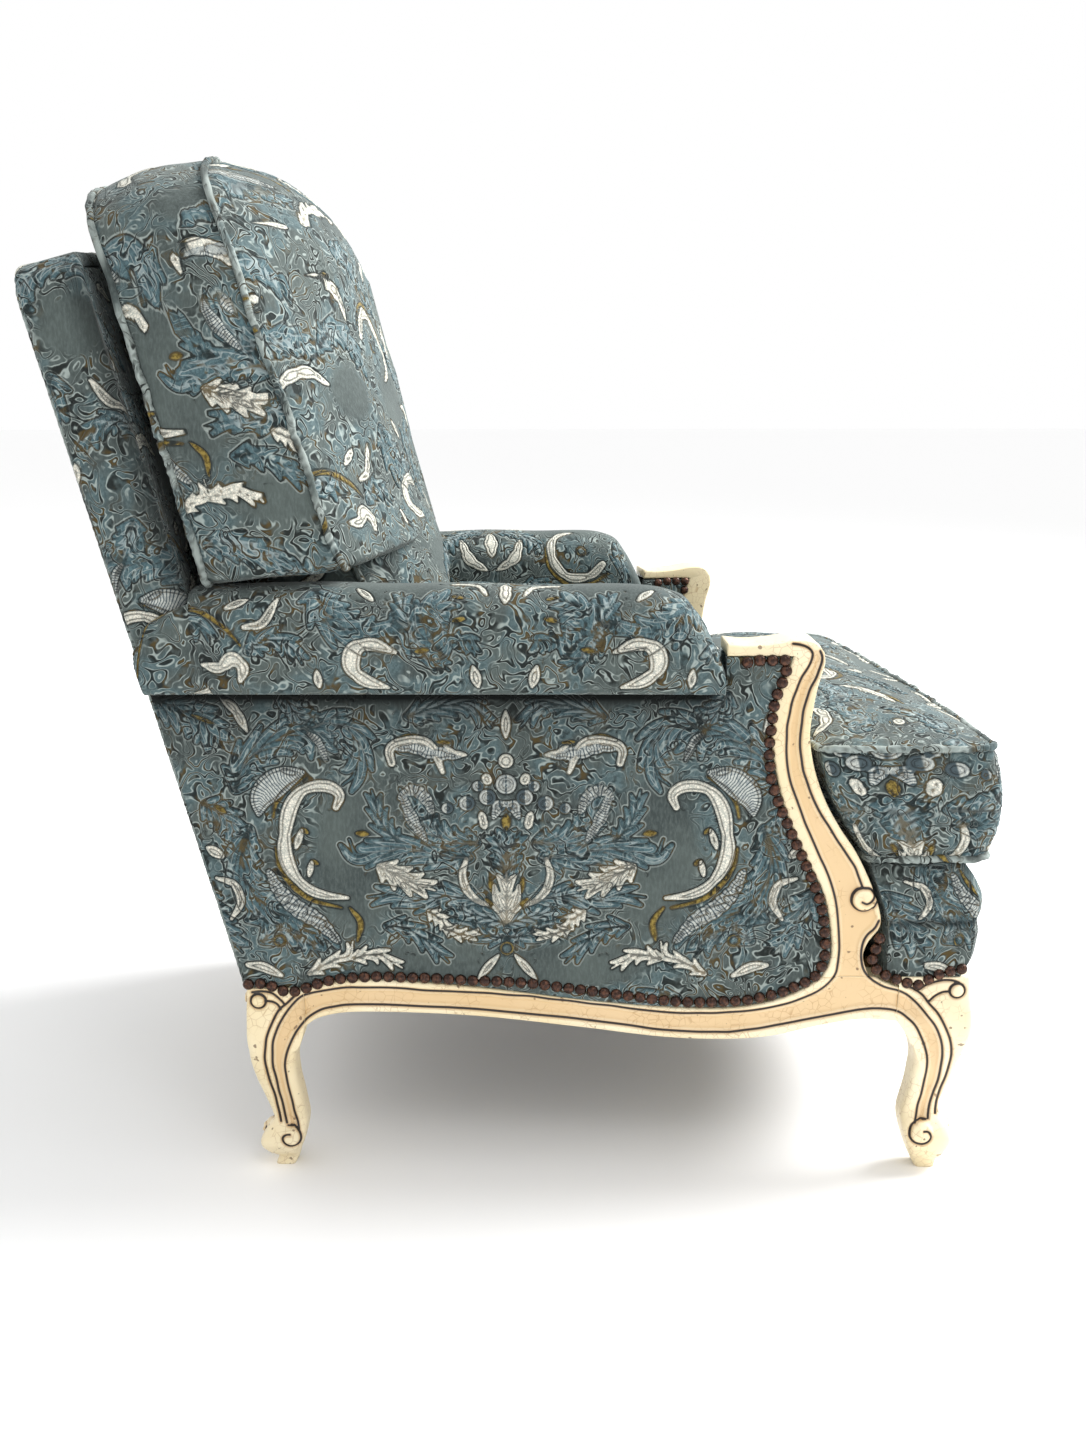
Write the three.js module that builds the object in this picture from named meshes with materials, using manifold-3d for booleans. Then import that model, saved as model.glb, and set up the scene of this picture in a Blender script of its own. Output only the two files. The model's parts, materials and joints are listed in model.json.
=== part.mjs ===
// Bergere chair: carved and painted show-wood frame, upholstered arms and back, and two loose cushions.
// Millimetres, +Z up, the front faces -Y. Each side is drawn in its own plane: forward along the side, up,
// and inset from the outer wood face. The sides splay towards the front.
import * as THREE from "three";
import { mergeVertices } from "three/addons/utils/BufferGeometryUtils.js";
import Module from "manifold-3d";

const wasm = await Module();
wasm.setup();

const degree = Math.PI / 180;

// Whole chair
const splay = 3.62 * degree;
const rake = 15.2 * degree;
const halfWidth = 336;
const frontCorner = 508;
const rearCorner = -205;
const seam = 0.3;
const looseGap = 3;
const postGap = 9;
const overrun = 400;

// Show wood
const rearLegDrop = 12;
const frontBlock = 63;
const rearBlock = 57;
const railThickness = 32;
const railLow = 146;
const railDepth = 66;
const tipRise = 52;
const postReach = 158;
const postTipBack = 266;
const postThickness = 57;
const woodRound = 3;
const frontBow = 24;
const rearRailSet = 4;
const frontRailSet = 3;
const rearRailThickness = 26;

// Hidden timber
const rebate = 14;
const tongueHeight = 48;
const stileWidth = 30;
const stileDepth = 30;
const armRailHeight = 29;
const armRailWidth = 28;
const tackingRailHeight = 30;
const topRailDepth = 62;
const lowerRailDepth = 50;
const lowerRailBelow = 14;
const blockLeg = 58;
const blockHeight = 24;

// Seat support
const dustThickness = 1.5;
const dustLevel = 176;
const webThickness = 2;
const webWidth = 48;
const webRows = 4;
const webColumns = 4;
const wire = 4;
const springRadius = 34;
const springWaist = 24;
const springTurns = 4;
const springRows = 3;
const hessianThickness = 2;
const deckThickness = 30;
const deckTop = 333;

// Upholstery fixed to the frame
const panelThickness = 12;
const innerPanelThickness = 14;
const innerProud = 3;
const rollBottom = 498;
const rollTop = 600;
const rollOver = 18;
const rollWidth = 106;
const rollFront = 264;
const backHeight = 730;
const outerBackThickness = 8;
const backPadThickness = 20;
const backArch = 16;
const backCorner = 38;
const bandThickness = 13;
const frontRollBack = 412;
const frontRollFront = 527;
const frontRollInset = 2;

// Loose cushions
const boxingHeight = 110;
const seatCrown = 42;
const seatFront = 533;
const seatFrontRound = 36;
const earRound = 14;
const earInset = 5;
const backBoxing = 122;
const backRearCrown = 22;
const backCrown = 92;
const backCushionTop = 778;
const backCushionArch = 36;
const backCushionRound = 95;
const earRise = 12;
const cushionRise = 34;
const drawnInShare = 0.985;

// Outlines as shares of the sizes that they follow
const railRearShare = 1 - rearLegDrop / railDepth;
// Height up the leg, then the outer and the inner face as shares of the corner block
const frontLegShares = [
  [0, 0.22, 0.54],
  [0.04, 0.18, 0.61],
  [0.065, 0.12, 0.65],
  [0.12, 0.03, 0.72],
  [0.18, -0.01, 0.78],
  [0.235, 0.07, 0.81],
  [0.28, 0.17, 0.8],
  [0.33, 0.18, 0.77],
  [0.4, 0.12, 0.73],
  [0.48, 0.05, 0.7],
  [0.59, -0.06, 0.69],
  [0.7, -0.16, 0.82],
  [0.78, -0.18, 1],
  [0.88, -0.13, 1],
  [0.95, -0.05, 1],
  [1, 0, 1],
];
const rearLegShares = [
  [0, 0.35, 0.7],
  [0.04, 0.38, 0.77],
  [0.075, 0.24, 0.79],
  [0.135, 0.1, 0.88],
  [0.195, 0.2, 0.93],
  [0.245, 0.32, 0.94],
  [0.29, 0.3, 0.92],
  [0.38, 0.21, 0.88],
  [0.5, 0.08, 0.82],
  [0.62, -0.01, 0.82],
  [0.73, -0.04, 0.95],
  [0.8, -0.03, 1],
  [1, 0, 1],
];
// Along the side rail from the rear leg to the front leg, then up the rail's depth
const railBottomShares = [
  [0, 0.2],
  [0.03, 0.36],
  [0.1, 0.44],
  [0.28, 0.38],
  [0.46, 0.2],
  [0.6, 0.04],
  [0.7, 0],
  [0.78, 0.04],
  [0.87, 0.22],
  [0.94, 0.32],
  [1, 0.29],
];
const railTopShares = [
  [0, railRearShare],
  [0.06, 0.94],
  [0.13, 0.96],
  [0.28, 0.85],
  [0.5, 0.6],
  [0.68, 0.5],
  [0.77, 0.58],
  [0.83, 0.77],
  [0.87, 1],
];
const railFrontShares = [
  [0.96, 1],
  [0.98, 0.91],
  [1, 0.84],
];
// From the arm tip forward to the post's foremost point, then up the post
const postInnerShares = [
  [0.645, 0],
  [0.695, 0.06],
  [0.685, 0.15],
  [0.63, 0.26],
  [0.5, 0.38],
  [0.37, 0.52],
  [0.29, 0.68],
  [0.28, 0.75],
  [0.32, 0.855],
  [0.4, 0.955],
];
const postTipShares = [
  [0, 0.955],
  [0, 0.99],
];
const postOuterShares = [
  [0.13, 0.985],
  [0.28, 0.99],
  [0.42, 1],
  [0.53, 0.995],
  [0.585, 0.965],
  [0.59, 0.93],
  [0.55, 0.86],
  [0.52, 0.765],
  [0.52, 0.7],
  [0.56, 0.615],
  [0.63, 0.53],
  [0.72, 0.455],
  [0.84, 0.37],
  [0.95, 0.26],
  [1, 0.165],
  [0.925, 0.105],
  [0.9, 0.06],
  [0.94, 0],
];
// Along the arm roll from its rear to its front end, then its top as a share of its height
const rollTopShares = [
  [0, 0.45],
  [0.02, 0.62],
  [0.045, 0.77],
  [0.11, 0.94],
  [0.17, 1],
  [0.5, 1],
  [0.82, 1],
  [0.92, 0.93],
  [0.955, 0.75],
  [0.985, 0.46],
  [1, 0.25],
];
// Back to front over the seat's front roll, then up its height
const frontRollShares = [
  [0.18, 0],
  [0.18, 0.46],
  [0, 1],
  [0.42, 1],
  [0.74, 1],
  [0.87, 0.9],
  [0.96, 0.77],
  [1, 0.65],
  [0.98, 0.43],
  [0.92, 0.28],
  [0.84, 0.13],
  [0.78, 0],
];
// Across half of the front and the rear rail, then the bottom edge up the rail's depth
const apronShares = [
  [-1, 0.32],
  [-0.86, 0.42],
  [-0.6, 0.36],
  [-0.32, 0.12],
  [0, 0],
  [0.32, 0.12],
  [0.6, 0.36],
  [0.86, 0.42],
  [1, 0.32],
];
// Cushion rings, as shares of the way out from the middle
const ringShares = [1, 0.94, 0.84, 0.68, 0.48, 0.25];
const crownPower = 2.3;

// Values that follow from the sizes above
const railRear = rearCorner + rearBlock + seam;
const railFront = frontCorner - frontBlock - seam;
const railLength = railFront - railRear;
const railHigh = railLow + railDepth;
const frontLegHeight = railHigh;
const rearLegHeight = railHigh - rearLegDrop;
const innerFace = postThickness + innerProud;
const webLap = webThickness / 2;
const backDepth = outerBackThickness + stileDepth + webThickness + webLap + backPadThickness + 3 * seam;
const rearLine = -rearCorner * Math.cos(splay);
const rollHeight = rollTop - rollBottom;
const webLevel = dustLevel + dustThickness + seam;
const springLow = webLevel + webThickness + webLap + seam;
const hessianLevel = deckTop - deckThickness - hessianThickness - seam;
const lowerRailUp = (hessianLevel - lowerRailBelow - rearLegHeight) / Math.cos(rake);
const seatBottom = deckTop + seam;
const backCushionBottom = seatBottom + boxingHeight + cushionRise;
const postBase = railHigh + seam;
const postHeight = rollBottom + tipRise - postBase;
const stileRear = outerBackThickness + seam;
const stileFront = stileRear + stileDepth + seam;
const armLevelUp = (rollBottom - rearLegHeight) / Math.cos(rake);
const backShoulder = backHeight - backArch - backCorner;
const frontLine = frontCorner * Math.cos(splay) - frontRailSet;
const rearRailLine = rearLine - rearRailSet;
const webSides = halfAt(0, rearBlock + webWidth);
const webRear = -(rearCorner + rearBlock);
const webFront = -(frontCorner - frontBlock);
const deckFront = -(frontRollBack - 2 * seam) * Math.cos(splay);

const sidePlane = new THREE.Matrix4().makeRotationZ(splay).setPosition(halfWidth, 0, 0);
const backPlane = new THREE.Matrix4()
  .makeRotationX(Math.PI / 2 - rake)
  .setPosition(0, rearLine, rearLegHeight);
const uprightPlane = new THREE.Matrix4().makeBasis(
  new THREE.Vector3(0, -1, 0),
  new THREE.Vector3(0, 0, 1),
  new THREE.Vector3(-1, 0, 0),
);

// Half of the chair's width at a place front to back, in from the outer wood faces
function halfAt(y, inset) {
  return halfWidth - inset / Math.cos(splay) - y * Math.tan(splay);
}

// Where a face of the back lies at a height, forward of the side's origin; depth counts from the rear face
function backForward(height, depth) {
  return -rearLine - (height - rearLegHeight) * Math.tan(rake) + depth / Math.cos(rake);
}

// Half of the back's width at a height up its slope
function backHalf(up, inset) {
  return halfAt(rearLine + up * Math.sin(rake), inset);
}

// Manifold solids and back again
function solid(geometry) {
  const plain = new THREE.BufferGeometry();
  plain.setAttribute("position", geometry.getAttribute("position"));
  plain.setIndex(geometry.index);
  const merged = mergeVertices(plain);
  return new wasm.Manifold(
    new wasm.Mesh({
      numProp: 3,
      vertProperties: merged.attributes.position.array,
      triVerts: new Uint32Array(merged.index.array),
    }),
  );
}

function geometryOf(made) {
  const mesh = made.getMesh();
  const geometry = new THREE.BufferGeometry();
  geometry.setAttribute("position", new THREE.BufferAttribute(mesh.vertProperties, 3));
  geometry.setIndex(new THREE.BufferAttribute(mesh.triVerts, 1));
  geometry.computeVertexNormals();
  return geometry;
}

function union(geometries) {
  return geometries.map(solid).reduce((all, next) => all.add(next));
}

function joined(...geometries) {
  return geometryOf(union(geometries));
}

function without(geometry, ...cutters) {
  return geometryOf(solid(geometry).subtract(union(cutters)));
}

function within(geometry, limit) {
  return geometryOf(solid(geometry).intersect(solid(limit)));
}

// A box between two heights, wide enough for any piece
function everythingBetween(low, high) {
  const reach = 2 * (frontCorner + overrun);
  return new THREE.BoxGeometry(reach, reach, high - low).translate(0, 0, (low + high) / 2);
}

// Smooth points through a table of shares
function through(shares, start, size, steps) {
  const curve = new THREE.SplineCurve(
    shares.map(([along, up]) => new THREE.Vector2(start.x + along * size.x, start.y + up * size.y)),
  );
  return curve.getPoints(steps);
}

// A closed skin over rings of points, with a point in the middle of each end
function loft(rings, firstPoint, lastPoint) {
  const count = rings[0].length;
  const middle = (ring) => ring.reduce((sum, p) => sum.add(p), new THREE.Vector3()).divideScalar(count);
  const points = [...rings.flat(), firstPoint ?? middle(rings[0]), lastPoint ?? middle(rings.at(-1))];
  const faces = [];
  const first = rings.length * count;
  const last = first + 1;
  for (let i = 0; i < count; i++) {
    const next = (i + 1) % count;
    for (let row = 0; row < (rings.length - 1) * count; row += count) {
      faces.push(row + i, row + next, row + count + next);
      faces.push(row + i, row + count + next, row + count + i);
    }
    faces.push(first, next, i);
    faces.push(last, first - count + i, first - count + next);
  }
  const geometry = new THREE.BufferGeometry().setFromPoints(points);
  geometry.setIndex(faces);
  if (signedVolume(geometry) < 0) geometry.setIndex(faces.reverse());
  geometry.computeVertexNormals();
  return geometry;
}

function signedVolume(geometry) {
  const place = geometry.getAttribute("position");
  const corners = [new THREE.Vector3(), new THREE.Vector3(), new THREE.Vector3()];
  let total = 0;
  for (let i = 0; i < geometry.index.count; i += 3) {
    corners.forEach((corner, k) => corner.fromBufferAttribute(place, geometry.index.getX(i + k)));
    total += corners[0].dot(corners[1].cross(corners[2]));
  }
  return total;
}

// A slab from an outline, with its edges rounded over by round
function slab(outline, thickness, round = 0, roundSteps = 2) {
  const geometry = new THREE.ExtrudeGeometry(new THREE.Shape(outline), {
    depth: thickness - 2 * round,
    bevelEnabled: round > 0,
    bevelThickness: round,
    bevelSize: round,
    bevelOffset: -round,
    bevelSegments: roundSteps,
    steps: 1,
  });
  return geometry.translate(0, 0, round);
}

// A slab in the plane of the left side: its outline is forward and up, and it starts inset from the face
function sideSlab(outline, thickness, inset, round) {
  return slab(outline, thickness, round)
    .applyMatrix4(uprightPlane)
    .translate(-inset, 0, 0)
    .applyMatrix4(sidePlane);
}

// A slab in the plane of the back: its outline is across and up the slope
function backSlab(outline, thickness, depth, round) {
  return slab(outline, thickness, round).translate(0, 0, depth).applyMatrix4(backPlane);
}

// A flat plate between the two sides
function levelPlate(rear, front, inset, level, thickness) {
  const outline = [
    new THREE.Vector2(-halfAt(rear, inset), rear),
    new THREE.Vector2(halfAt(rear, inset), rear),
    new THREE.Vector2(halfAt(front, inset), front),
    new THREE.Vector2(-halfAt(front, inset), front),
  ];
  return slab(outline, thickness).translate(0, 0, level);
}

// A rounded rectangle between two corners, crisp at power 10 and soft at power 3
function roundedBlock(low, high, height, power, count) {
  const centre = low.clone().add(high).multiplyScalar(1 / 2);
  const reach = high.clone().sub(low).multiplyScalar(1 / 2);
  const bend = (value) => Math.sign(value) * Math.abs(value) ** (2 / power);
  return Array.from({ length: count }, (_, i) => {
    const turn = (2 * Math.PI * (i + 0.5)) / count;
    const across = centre.x + reach.x * bend(Math.cos(turn));
    const along = centre.y + reach.y * bend(Math.sin(turn));
    return new THREE.Vector3(across, along, height);
  });
}

// Cabriole leg: a block whose outer and inner faces follow two tables, one across and one along the side.
// corner is where its outer corner lies along the side, and inward, 1 or -1, is the way to its inner face.
function cabrioleLeg(shares, reachShares, height, block, corner, inward) {
  const softPower = 3.2;
  const crispPower = 12;
  const sides = 16;
  const blockShare = 0.7;
  const rings = shares.map(([up, outer, inner], level) => {
    const crisp = Math.max(0, up - blockShare) / (1 - blockShare);
    const power = softPower + (crispPower - softPower) * crisp;
    const low = new THREE.Vector2(outer, reachShares[level][1]).multiplyScalar(block);
    const high = new THREE.Vector2(inner, reachShares[level][2]).multiplyScalar(block);
    const ring = roundedBlock(low, high, up * height, power, sides);
    return ring.map((p) => new THREE.Vector3(-p.x, -corner - inward * p.y, p.z));
  });
  return loft(rings).applyMatrix4(sidePlane);
}

// The top of the front leg stands further forward than it does outward
function frontLeg() {
  const kneeShare = 0.78;
  const topShare = -0.14;
  const reachShares = frontLegShares.map(([up, outer, inner]) => [up, up > kneeShare ? topShare : outer, inner]);
  return cabrioleLeg(frontLegShares, reachShares, frontLegHeight, frontBlock, frontCorner, -1);
}

function rearLeg() {
  return cabrioleLeg(rearLegShares, rearLegShares, rearLegHeight, rearBlock, rearCorner, 1);
}

const railStart = new THREE.Vector2(railRear, railLow);
const railSize = new THREE.Vector2(railLength, railDepth);
const railTopLine = through(railTopShares, railStart, railSize, 26);

const postStart = new THREE.Vector2(postTipBack, postBase);
const postSize = new THREE.Vector2(postReach, postHeight);
const postInnerLine = through(postInnerShares, postStart, postSize, 24);
const postTipLine = through(postTipShares, postStart, postSize, 1);
const postOuterLine = through(postOuterShares, postStart, postSize, 48);

// Side rail: a serpentine show face, with a rebated tongue behind the fabric above it
function sideRail() {
  const tongueFrontShare = 0.85;
  const bottom = through(railBottomShares, railStart, railSize, 20);
  const front = through(railFrontShares, railStart, railSize, 4);
  const face = sideSlab(
    [...bottom, ...front.reverse(), ...[...railTopLine].reverse()],
    railThickness,
    0,
    woodRound,
  );
  const tongueFront = railRear + tongueFrontShare * railLength;
  const foot = railTopLine.filter((p) => p.x < tongueFront);
  const tongueTop = railHigh + tongueHeight;
  const tongue = sideSlab(
    [
      ...foot.map((p) => new THREE.Vector2(p.x, p.y - 2 * woodRound)),
      new THREE.Vector2(foot.at(-1).x, tongueTop),
      new THREE.Vector2(railRear, tongueTop),
    ],
    railThickness - rebate,
    rebate,
  );
  return joined(face, tongue);
}

// Arm post: rises from the rail, leans back and ends in the arm tip
function armPost() {
  const outline = [...postInnerLine, ...postTipLine, ...postOuterLine];
  return sideSlab(outline, postThickness, 0, woodRound);
}

// The open line moved to its left by a gap
function movedLeft(line, gap) {
  return line.map((p, i) => {
    const along = line[Math.min(i + 1, line.length - 1)].clone().sub(line[Math.max(i - 1, 0)]).normalize();
    return new THREE.Vector2(p.x - along.y * gap, p.y + along.x * gap);
  });
}

// Where a line that climbs passes a height
function lineAt(line, height) {
  const after = line.findIndex((p, i) => i > 0 && (p.y - height) * (line[i - 1].y - height) <= 0);
  const [low, high] = [line[after - 1], line[after]];
  return low.x + ((high.x - low.x) * (height - low.y)) / (high.y - low.y);
}

// Fabric panel on the outside of an arm, tacked along the rail, the post and under the arm roll
function outerSidePanel() {
  const top = rollBottom - seam;
  const rearFace = outerBackThickness + 4 * seam;
  const woodEdge = movedLeft([...railTopLine, ...postInnerLine.slice(1)], 2 * seam);
  const tipUnder = postTipLine[0].y - 2 * seam;
  const outline = [
    new THREE.Vector2(backForward(rearLegHeight, rearFace), rearLegHeight + seam),
    ...woodEdge.slice(0, -1),
    new THREE.Vector2(lineAt(woodEdge, tipUnder - seam), tipUnder),
    new THREE.Vector2(postTipBack, tipUnder),
    new THREE.Vector2(postTipBack, top),
    new THREE.Vector2(backForward(top, rearFace), top),
  ];
  return sideSlab(outline, panelThickness, seam);
}

// Fabric panel on the inside of an arm, from the deck to the arm roll
function innerSidePanel() {
  const top = rollBottom - seam;
  const woodEdge = movedLeft(postInnerLine, 2 * seam);
  const tipUnder = postTipLine[0].y - 2 * seam;
  const rearFace = stileFront + 4 * seam;
  const outline = [
    new THREE.Vector2(backForward(hessianLevel, rearFace), hessianLevel),
    new THREE.Vector2(lineAt(woodEdge, hessianLevel), hessianLevel),
    ...woodEdge.filter((p) => p.y > hessianLevel && p.y < tipUnder - seam),
    new THREE.Vector2(lineAt(woodEdge, tipUnder - seam), tipUnder),
    new THREE.Vector2(postTipBack, tipUnder),
    new THREE.Vector2(postTipBack, top),
    new THREE.Vector2(backForward(top, rearFace), top),
  ];
  return sideSlab(outline, innerPanelThickness, innerFace - innerPanelThickness);
}

// A straight timber from the back stile to the arm post
function timberToPost(low, high, inset, width) {
  const woodEdge = movedLeft(postInnerLine, 2 * seam);
  const front = Math.min(lineAt(woodEdge, low), lineAt(woodEdge, high), lineAt(woodEdge, (low + high) / 2));
  const rearFace = stileFront + 4 * seam;
  const outline = [
    new THREE.Vector2(backForward(low, rearFace), low),
    new THREE.Vector2(front, low),
    new THREE.Vector2(front, high),
    new THREE.Vector2(backForward(high, rearFace), high),
  ];
  return sideSlab(outline, width, inset);
}

function armRail() {
  const high = rollBottom - seam;
  return timberToPost(high - armRailHeight, high, rebate + seam, armRailWidth);
}

function tackingRail() {
  const inset = railThickness - rebate + 3 * seam;
  const width = innerFace - innerPanelThickness - seam - inset;
  return timberToPost(hessianLevel, hessianLevel + tackingRailHeight, inset, width);
}

// Padded roll along the top of an arm: it overhangs the panels, drops at its nose and laps the back's side
function armRoll() {
  const crownSoft = 2.3;
  const flatUnder = 7;
  const sides = 18;
  const rear = backForward(rollTop, 0);
  const middle = rollWidth / 2 - rollOver;
  const start = new THREE.Vector2(rear, 0);
  const table = through(rollTopShares, start, new THREE.Vector2(rollFront - rear, rollHeight), 20);
  const rings = table.map((place) =>
    Array.from({ length: sides }, (_, i) => {
      const turn = (2 * Math.PI * i) / sides;
      const power = Math.sin(turn) < 0 ? flatUnder : crownSoft;
      const bend = (value) => Math.sign(value) * Math.abs(value) ** (2 / power);
      const across = middle - (rollWidth / 2) * bend(Math.cos(turn));
      const up = rollBottom + (place.y / 2) * (1 + bend(Math.sin(turn)));
      return new THREE.Vector3(-across, -place.x, up);
    }),
  );
  const whole = loft(rings).applyMatrix4(sidePlane);
  const backEnvelope = backSlab(backOutline(-2 * seam, -overrun), backDepth + 2 * seam + overrun, -overrun);
  const behind = backSlab(backOutline(-overrun, -overrun), overrun, -overrun);
  return without(whole, backEnvelope, behind);
}

// Outline of the back in its plane, in by inset and down to base: a shallow arch on two shoulders
function backOutline(inset, base) {
  const shoulder = backHeight - backArch - inset;
  const round = Math.max(backCorner - inset, seam);
  const half = (up) => backHalf(up, inset);
  const right = [new THREE.Vector2(half(base), base)];
  right.push(new THREE.Vector2(half(shoulder - round), shoulder - round));
  const bend = new THREE.QuadraticBezierCurve(
    right.at(-1),
    new THREE.Vector2(half(shoulder), shoulder),
    new THREE.Vector2(half(shoulder) - round, archTop(half(shoulder) - round, half(shoulder), shoulder)),
  );
  right.push(...bend.getPoints(6).slice(1));
  const span = right.at(-1).x;
  const archSteps = 10;
  const arch = Array.from({ length: archSteps - 1 }, (_, i) => {
    const across = span * (1 - (2 * (i + 1)) / archSteps);
    return new THREE.Vector2(across, archTop(across, half(shoulder), shoulder));
  });
  const left = right.map((p) => new THREE.Vector2(-p.x, p.y)).reverse();
  return [...right, ...arch, ...left];
}

function archTop(across, half, shoulder) {
  return shoulder + backArch * (1 - (across / half) ** 2);
}

// Keeps what is above the tops of the rear legs
function aboveLegs(geometry) {
  return within(geometry, everythingBetween(rearLegHeight + seam, rearLegHeight + backHeight + overrun));
}

// Upholstered panel over the whole rear of the back
function outerBack() {
  return aboveLegs(backSlab(backOutline(0, -outerBackThickness), outerBackThickness, 0));
}

function backStile() {
  const top = backShoulder - rebate;
  const outline = [
    new THREE.Vector2(backHalf(-stileDepth, rebate), -stileDepth),
    new THREE.Vector2(backHalf(top, rebate), top),
    new THREE.Vector2(backHalf(top, rebate + stileWidth), top),
    new THREE.Vector2(backHalf(-stileDepth, rebate + stileWidth), -stileDepth),
  ];
  return aboveLegs(backSlab(outline, stileDepth, stileRear));
}

// Arched rail over the tops of the two stiles
function backTopRail() {
  const base = backShoulder - rebate + seam;
  const full = backSlab(backOutline(rebate, base), stileDepth, stileRear);
  const under = backOutline(topRailDepth + rebate, base).filter((p) => p.y > base);
  const foot = new THREE.Vector2(0, base - topRailDepth);
  const hollow = backSlab([...under, foot], stileDepth + 2 * seam, stileRear - seam);
  return under.length > 2 ? without(full, hollow) : full;
}

function backLowerRail() {
  const top = lowerRailUp + lowerRailDepth;
  const inset = rebate + stileWidth + seam;
  const outline = [
    new THREE.Vector2(backHalf(top, inset), lowerRailUp),
    new THREE.Vector2(backHalf(top, inset), top),
    new THREE.Vector2(-backHalf(top, inset), top),
    new THREE.Vector2(-backHalf(top, inset), lowerRailUp),
  ];
  return backSlab(outline, stileDepth, stileRear);
}

// Fabric-covered border round the sides and top of the back, above the arms
function backBorder() {
  const outer = backOutline(0, armLevelUp);
  const inner = backOutline(bandThickness, armLevelUp).reverse();
  return backSlab([...outer, ...inner], stileDepth, stileRear);
}

// Straps across the back frame, nailed to its front face and crossing each other
function backWebbing() {
  const top = backShoulder;
  const foot = lowerRailUp + lowerRailDepth / 2;
  const reach = (up) => backHalf(up, rebate + stileWidth / 2);
  const strap = (x, y, w, h, lap) =>
    slab(rectangle(x, y, w, h), webThickness).translate(0, 0, stileFront + lap).applyMatrix4(backPlane);
  const straps = [];
  for (let i = 0; i < webColumns; i++) {
    const across = ((2 * i + 1) / webColumns - 1) * (reach(top) - innerFace);
    straps.push(strap(across, (foot + top) / 2, webWidth, top - foot, 0));
  }
  for (let i = 0; i < webRows; i++) {
    const up = foot + ((top - foot) * (i + 0.5)) / webRows;
    const width = up < armLevelUp ? reach(up) - innerFace : reach(up);
    straps.push(strap(0, up, 2 * width, webWidth, webLap));
  }
  return joined(...straps);
}

function rectangle(x, y, width, height) {
  return [
    new THREE.Vector2(x - width / 2, y - height / 2),
    new THREE.Vector2(x + width / 2, y - height / 2),
    new THREE.Vector2(x + width / 2, y + height / 2),
    new THREE.Vector2(x - width / 2, y + height / 2),
  ];
}

// Stuffed front of the back: narrow between the arms, full width above them
function backPad() {
  const depth = stileFront + webThickness + webLap + seam;
  const foot = lowerRailUp + webWidth / 4;
  const shoulders = backOutline(0, armLevelUp).filter((p) => p.y >= armLevelUp);
  const narrow = (up) => backHalf(up, innerFace + 2 * seam);
  const outline = [
    new THREE.Vector2(narrow(armLevelUp), foot),
    new THREE.Vector2(narrow(armLevelUp), armLevelUp),
    ...shoulders,
    new THREE.Vector2(-narrow(armLevelUp), armLevelUp),
    new THREE.Vector2(-narrow(armLevelUp), foot),
  ];
  return backSlab(outline, backPadThickness, depth, woodRound);
}

// The part-frame place of a point given in from the wood face and forward along the left side
function planPoint(inset, forward) {
  const x = halfWidth - inset * Math.cos(splay) + forward * Math.sin(splay);
  return new THREE.Vector2(x, -inset * Math.sin(splay) - forward * Math.cos(splay));
}

// The opening inside the seat frame, with a notch round each leg
function frameOpening(clear) {
  const rear = rearRailLine - rearRailThickness - clear;
  const front = -(frontLine - railThickness - clear);
  const left = [
    new THREE.Vector2(halfAt(rear, rearBlock + clear), rear),
    planPoint(rearBlock + clear, rearCorner + rearBlock + clear),
    planPoint(railThickness + clear, rearCorner + rearBlock + clear),
    planPoint(railThickness + clear, frontCorner - frontBlock - clear),
    planPoint(frontBlock + clear, frontCorner - frontBlock - clear),
    new THREE.Vector2(halfAt(front, frontBlock + clear), front),
  ];
  return [...left, ...left.map((p) => new THREE.Vector2(-p.x, p.y)).reverse()];
}

// The lower edge of a rail between two legs, cut through the rail from front to back
function apronCutter(half, top) {
  const bottom = through(apronShares, new THREE.Vector2(0, railLow), new THREE.Vector2(half, railDepth), 24);
  const outline = [...bottom, new THREE.Vector2(half, top), new THREE.Vector2(-half, top)];
  const reach = frontCorner + overrun;
  return slab(outline, 2 * reach)
    .applyMatrix4(new THREE.Matrix4().makeRotationX(Math.PI / 2))
    .translate(0, reach, 0);
}

// Front rail: bowed in plan and serpentine along its lower edge
function frontRail() {
  const half = halfAt(-frontLine, frontBlock + seam);
  const steps = 12;
  const face = Array.from({ length: steps + 1 }, (_, i) => {
    const across = half * (1 - (2 * i) / steps);
    return new THREE.Vector2(across, -frontLine - frontBow * (1 - (across / half) ** 2));
  });
  const inner = -(frontLine - railThickness);
  const innerHalf = halfAt(inner, frontBlock + seam);
  const plan = [...face, new THREE.Vector2(-innerHalf, inner), new THREE.Vector2(innerHalf, inner)];
  const block = slab(plan, railHigh - railLow).translate(0, 0, railLow);
  return within(block, apronCutter(half, railHigh));
}

function rearRail() {
  const half = halfAt(rearRailLine, rearBlock + seam);
  const inner = rearRailLine - rearRailThickness;
  const plan = [
    new THREE.Vector2(half, rearRailLine),
    new THREE.Vector2(-half, rearRailLine),
    new THREE.Vector2(-half, inner),
    new THREE.Vector2(half, inner),
  ];
  const block = slab(plan, rearLegHeight - railLow).translate(0, 0, railLow);
  return within(block, apronCutter(half, rearLegHeight));
}

// Glued block behind a leg, notched round it and touching both rails
function cornerBlock(block, railInner, legForward, inwardForward) {
  const legFace = legForward + inwardForward * seam;
  const outline = [
    planPoint(railThickness + seam, legForward + inwardForward * blockLeg),
    planPoint(railThickness + seam, legFace),
    planPoint(block + seam, legFace),
    new THREE.Vector2(halfAt(railInner, block + seam), railInner),
    new THREE.Vector2(halfAt(railInner, block + seam) - blockLeg, railInner),
  ];
  return slab(outline, blockHeight).translate(0, 0, springLow);
}

function frontCornerBlock() {
  const railInner = -(frontLine - railThickness - seam);
  return cornerBlock(frontBlock, railInner, frontCorner - frontBlock, -1);
}

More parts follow.
